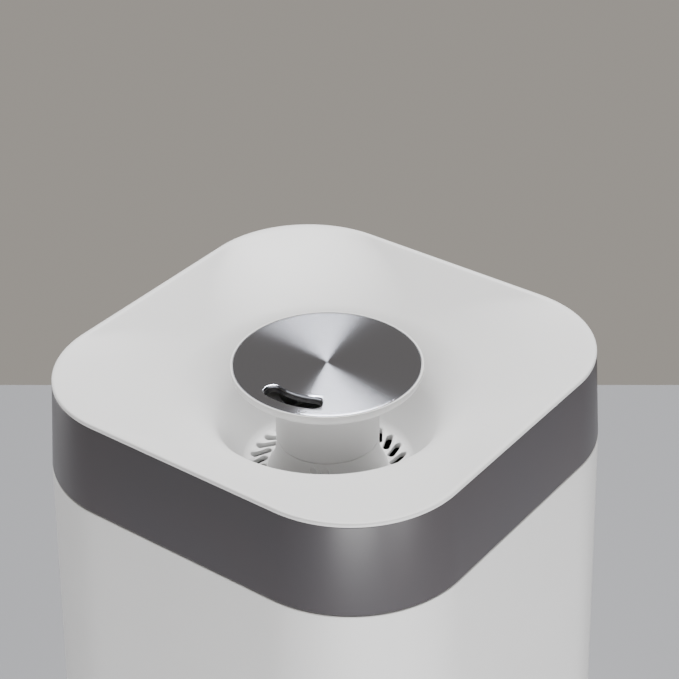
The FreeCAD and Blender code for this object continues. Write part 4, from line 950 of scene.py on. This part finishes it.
def make_feet():
    low, high = span("rubber_feet", 2)
    reach = span("rubber_feet", 0)[1]
    radius = 9 * MM
    section = rounded([(0, low), (radius, low), (radius, high), (0, high)], [0, 1.2 * MM, 0.3 * MM, 0])
    spots = [(x, y) for x in (-1, 1) for y in (-1, 1)]
    patches = [grid_patch(turned_rows(section, around(72), (x * (reach - radius), y * (reach - radius), 0)),
                          closed_rows=True) for x, y in spots]
    make_piece("moulded_feet", patches, "silicone", "base", "rubber_feet")


# ---- carried-over nodes -------------------------------------------------------------------------

def finish_carried_nodes():
    """Give every frame node the finish of its slot in the record."""
    for subpart in frame["record"]["subparts"]:
        node = frame["nodes"][subpart["node"]]
        node.data.materials.clear()
        node.data.materials.append(finish(subpart["material_slot"]))


# ---- stage --------------------------------------------------------------------------------------

def view_axes():
    """The view's level axes: to its right, and away from the camera."""
    azimuth = math.radians(CAMERA_AZIMUTH)
    return (Vector((math.cos(azimuth), math.sin(azimuth), 0)),
            Vector((-math.sin(azimuth), math.cos(azimuth), 0)))


def make_camera():
    """The camera stands off the rim by shares of the rim's half width."""
    elevation, roll = math.radians(CAMERA_ELEVATION), math.radians(CAMERA_ROLL)
    right, away = view_axes()
    forward = away * math.cos(elevation) - Vector((0, 0, math.sin(elevation)))
    upright = right.cross(forward)
    turned_right = right * math.cos(roll) + upright * math.sin(roll)
    turned_up = upright * math.cos(roll) - right * math.sin(roll)
    camera = link_object("camera", bpy.data.cameras.new("camera"))
    camera.data.lens, camera.data.sensor_width = CAMERA_LENS, CAMERA_SENSOR
    place = Vector(CAMERA_SHARES) * RIM_HALF + Vector((0, 0, RIM_TOP))
    turn = Matrix((turned_right, turned_up, -forward)).transposed().to_4x4()
    camera.matrix_world = Matrix.Translation(place) @ turn
    bpy.context.scene.camera = camera


def add_softbox(name, rightwards, away_by, height, width, depth, power):
    """A rectangular light placed in the view's own level axes, in metres, facing the rim."""
    right, away = view_axes()
    light = bpy.data.lights.new(name, "AREA")
    light.shape, light.size, light.size_y = "RECTANGLE", width, depth
    light.energy = power
    lamp = link_object(name, light)
    lamp.location = right * rightwards + away * away_by + Vector((0, 0, height))
    aim = Vector((0, 0, RIM_TOP * 0.8)) - lamp.location
    lamp.rotation_euler = aim.to_track_quat("-Z", "Y").to_euler()
    lamp.visible_camera = False


def make_lights():
    add_softbox("overhead", 0.12, 0.85, 1.85, 0.6, 0.7, 66)
    add_softbox("left_side", -1.2, 0.55, 0.16, 0.5, 0.26, 8)
    add_softbox("right_side", 0.95, -1.25, 0.16, 0.5, 0.28, 16)
    add_softbox("front_fill", 0.05, -0.95, 0.06, 0.5, 0.09, 6.2)


def make_world():
    """The backdrop's colour as seen directly, and a dimmer room round the object."""
    world = bpy.data.worlds.new("studio")
    bpy.context.scene.world = world
    world.use_nodes = True
    node = Node(world)
    seen = node.add("ShaderNodeLightPath")
    room = shade(tuple(colours().wall), ROOM_SHARE)
    node.feed(world.node_tree.nodes["Background"].inputs["Color"],
              mix_colour(node, seen, room, tuple(colours().wall)))


def make_floor():
    """A table whose far edge lies behind the object; the studio's wall colour shows beyond it."""
    right, away = view_axes()
    far, near, side, slant = 0.4236, 3.0, 3.0, -0.0143
    spots = [right * x + away * y for x, y in ((-side, -near), (side, -near), (side, far + slant * side),
                                               (-side, far - slant * side))]
    mesh = bpy.data.meshes.new("table")
    mesh.from_pydata([tuple(spot) for spot in spots], [], [(0, 1, 2, 3)])
    table = link_object("table", mesh)
    material, node, shader = new_material("table_top")
    colour = tuple(colours().floor)
    cloud = noise(node, 3.0, 3.0)
    node.feed(shader.inputs["Base Color"], mix_colour(node, cloud, shade(colour, 0.97), shade(colour, 1.03)))
    node.feed(shader.inputs["Roughness"], 0.5 + cloud * 0.1)
    mesh.materials.append(material)


# ---- operators, panel and registration ----------------------------------------------------------

class HumidifierOperator:
    """What the operators share: each one runs its makers in order."""
    bl_options = {"REGISTER", "UNDO"}
    makers = ()

    def execute(self, context):
        for maker in self.makers:
            maker()
        return {"FINISHED"}


class HUMIDIFIER_OT_finishes(HumidifierOperator, bpy.types.Operator):
    """Give the carried-over frame nodes their finishes"""
    bl_idname = "humidifier.finishes"
    bl_label = "Finish Frame Nodes"
    makers = (finish_carried_nodes,)


class HUMIDIFIER_OT_tray(HumidifierOperator, bpy.types.Operator):
    """Build the bowl-shaped tray with its slotted well floor"""
    bl_idname = "humidifier.tray"
    bl_label = "Build Tray"
    makers = (make_tray,)


class HUMIDIFIER_OT_nozzle(HumidifierOperator, bpy.types.Operator):
    """Build the mist nozzle: collar, head and spun disc"""
    bl_idname = "humidifier.nozzle"
    bl_label = "Build Nozzle"
    makers = (make_collar, make_head, make_disc, make_painted_shade_sleeve)


class HUMIDIFIER_OT_tank(HumidifierOperator, bpy.types.Operator):
    """Build the smoke-coloured tank with its band and chimney"""
    bl_idname = "humidifier.tank"
    bl_label = "Build Tank"
    makers = (make_tank, make_spring)


class HUMIDIFIER_OT_housing(HumidifierOperator, bpy.types.Operator):
    """Build the housing shell and its feet"""
    bl_idname = "humidifier.housing"
    bl_label = "Build Housing"
    makers = (make_housing, make_feet)


class HUMIDIFIER_OT_controls(HumidifierOperator, bpy.types.Operator):
    """Build the dial, its recess and the indicator lens"""
    bl_idname = "humidifier.controls"
    bl_label = "Build Controls"
    makers = (make_dial, make_lens)


class HUMIDIFIER_OT_stage(HumidifierOperator, bpy.types.Operator):
    """Set up the table, backdrop colour, lights and camera"""
    bl_idname = "humidifier.stage"
    bl_label = "Set Up Stage"
    makers = (make_camera, make_world, make_floor, make_lights)


OPERATORS = (HUMIDIFIER_OT_stage, HUMIDIFIER_OT_finishes, HUMIDIFIER_OT_tray, HUMIDIFIER_OT_nozzle,
             HUMIDIFIER_OT_tank, HUMIDIFIER_OT_housing, HUMIDIFIER_OT_controls)


class HUMIDIFIER_PT_panel(bpy.types.Panel):
    """Settings and build steps of the humidifier"""
    bl_idname = "HUMIDIFIER_PT_panel"
    bl_label = "Humidifier"
    bl_space_type = "VIEW_3D"
    bl_region_type = "UI"
    bl_category = "Humidifier"

    def draw(self, context):
        for settings in (context.scene.humidifier_shape, context.scene.humidifier_colours):
            column = self.layout.column(align=True)
            for name in type(settings).__annotations__:
                column.prop(settings, name)
        for operator in OPERATORS:
            self.layout.operator(operator.bl_idname)


CLASSES = (HumidifierShape, HumidifierColours, *OPERATORS, HUMIDIFIER_PT_panel)


def register():
    for item in CLASSES:
        bpy.utils.register_class(item)
    bpy.types.Scene.humidifier_shape = bpy.props.PointerProperty(type=HumidifierShape)
    bpy.types.Scene.humidifier_colours = bpy.props.PointerProperty(type=HumidifierColours)


def unregister():
    del bpy.types.Scene.humidifier_colours
    del bpy.types.Scene.humidifier_shape
    for item in reversed(CLASSES):
        bpy.utils.unregister_class(item)


def main():
    register()
    bpy.ops.humidifier.stage()
    bpy.ops.humidifier.finishes()
    bpy.ops.humidifier.tray()
    bpy.ops.humidifier.nozzle()
    bpy.ops.humidifier.tank()
    bpy.ops.humidifier.housing()
    bpy.ops.humidifier.controls()


if __name__ == "__main__":
    main()
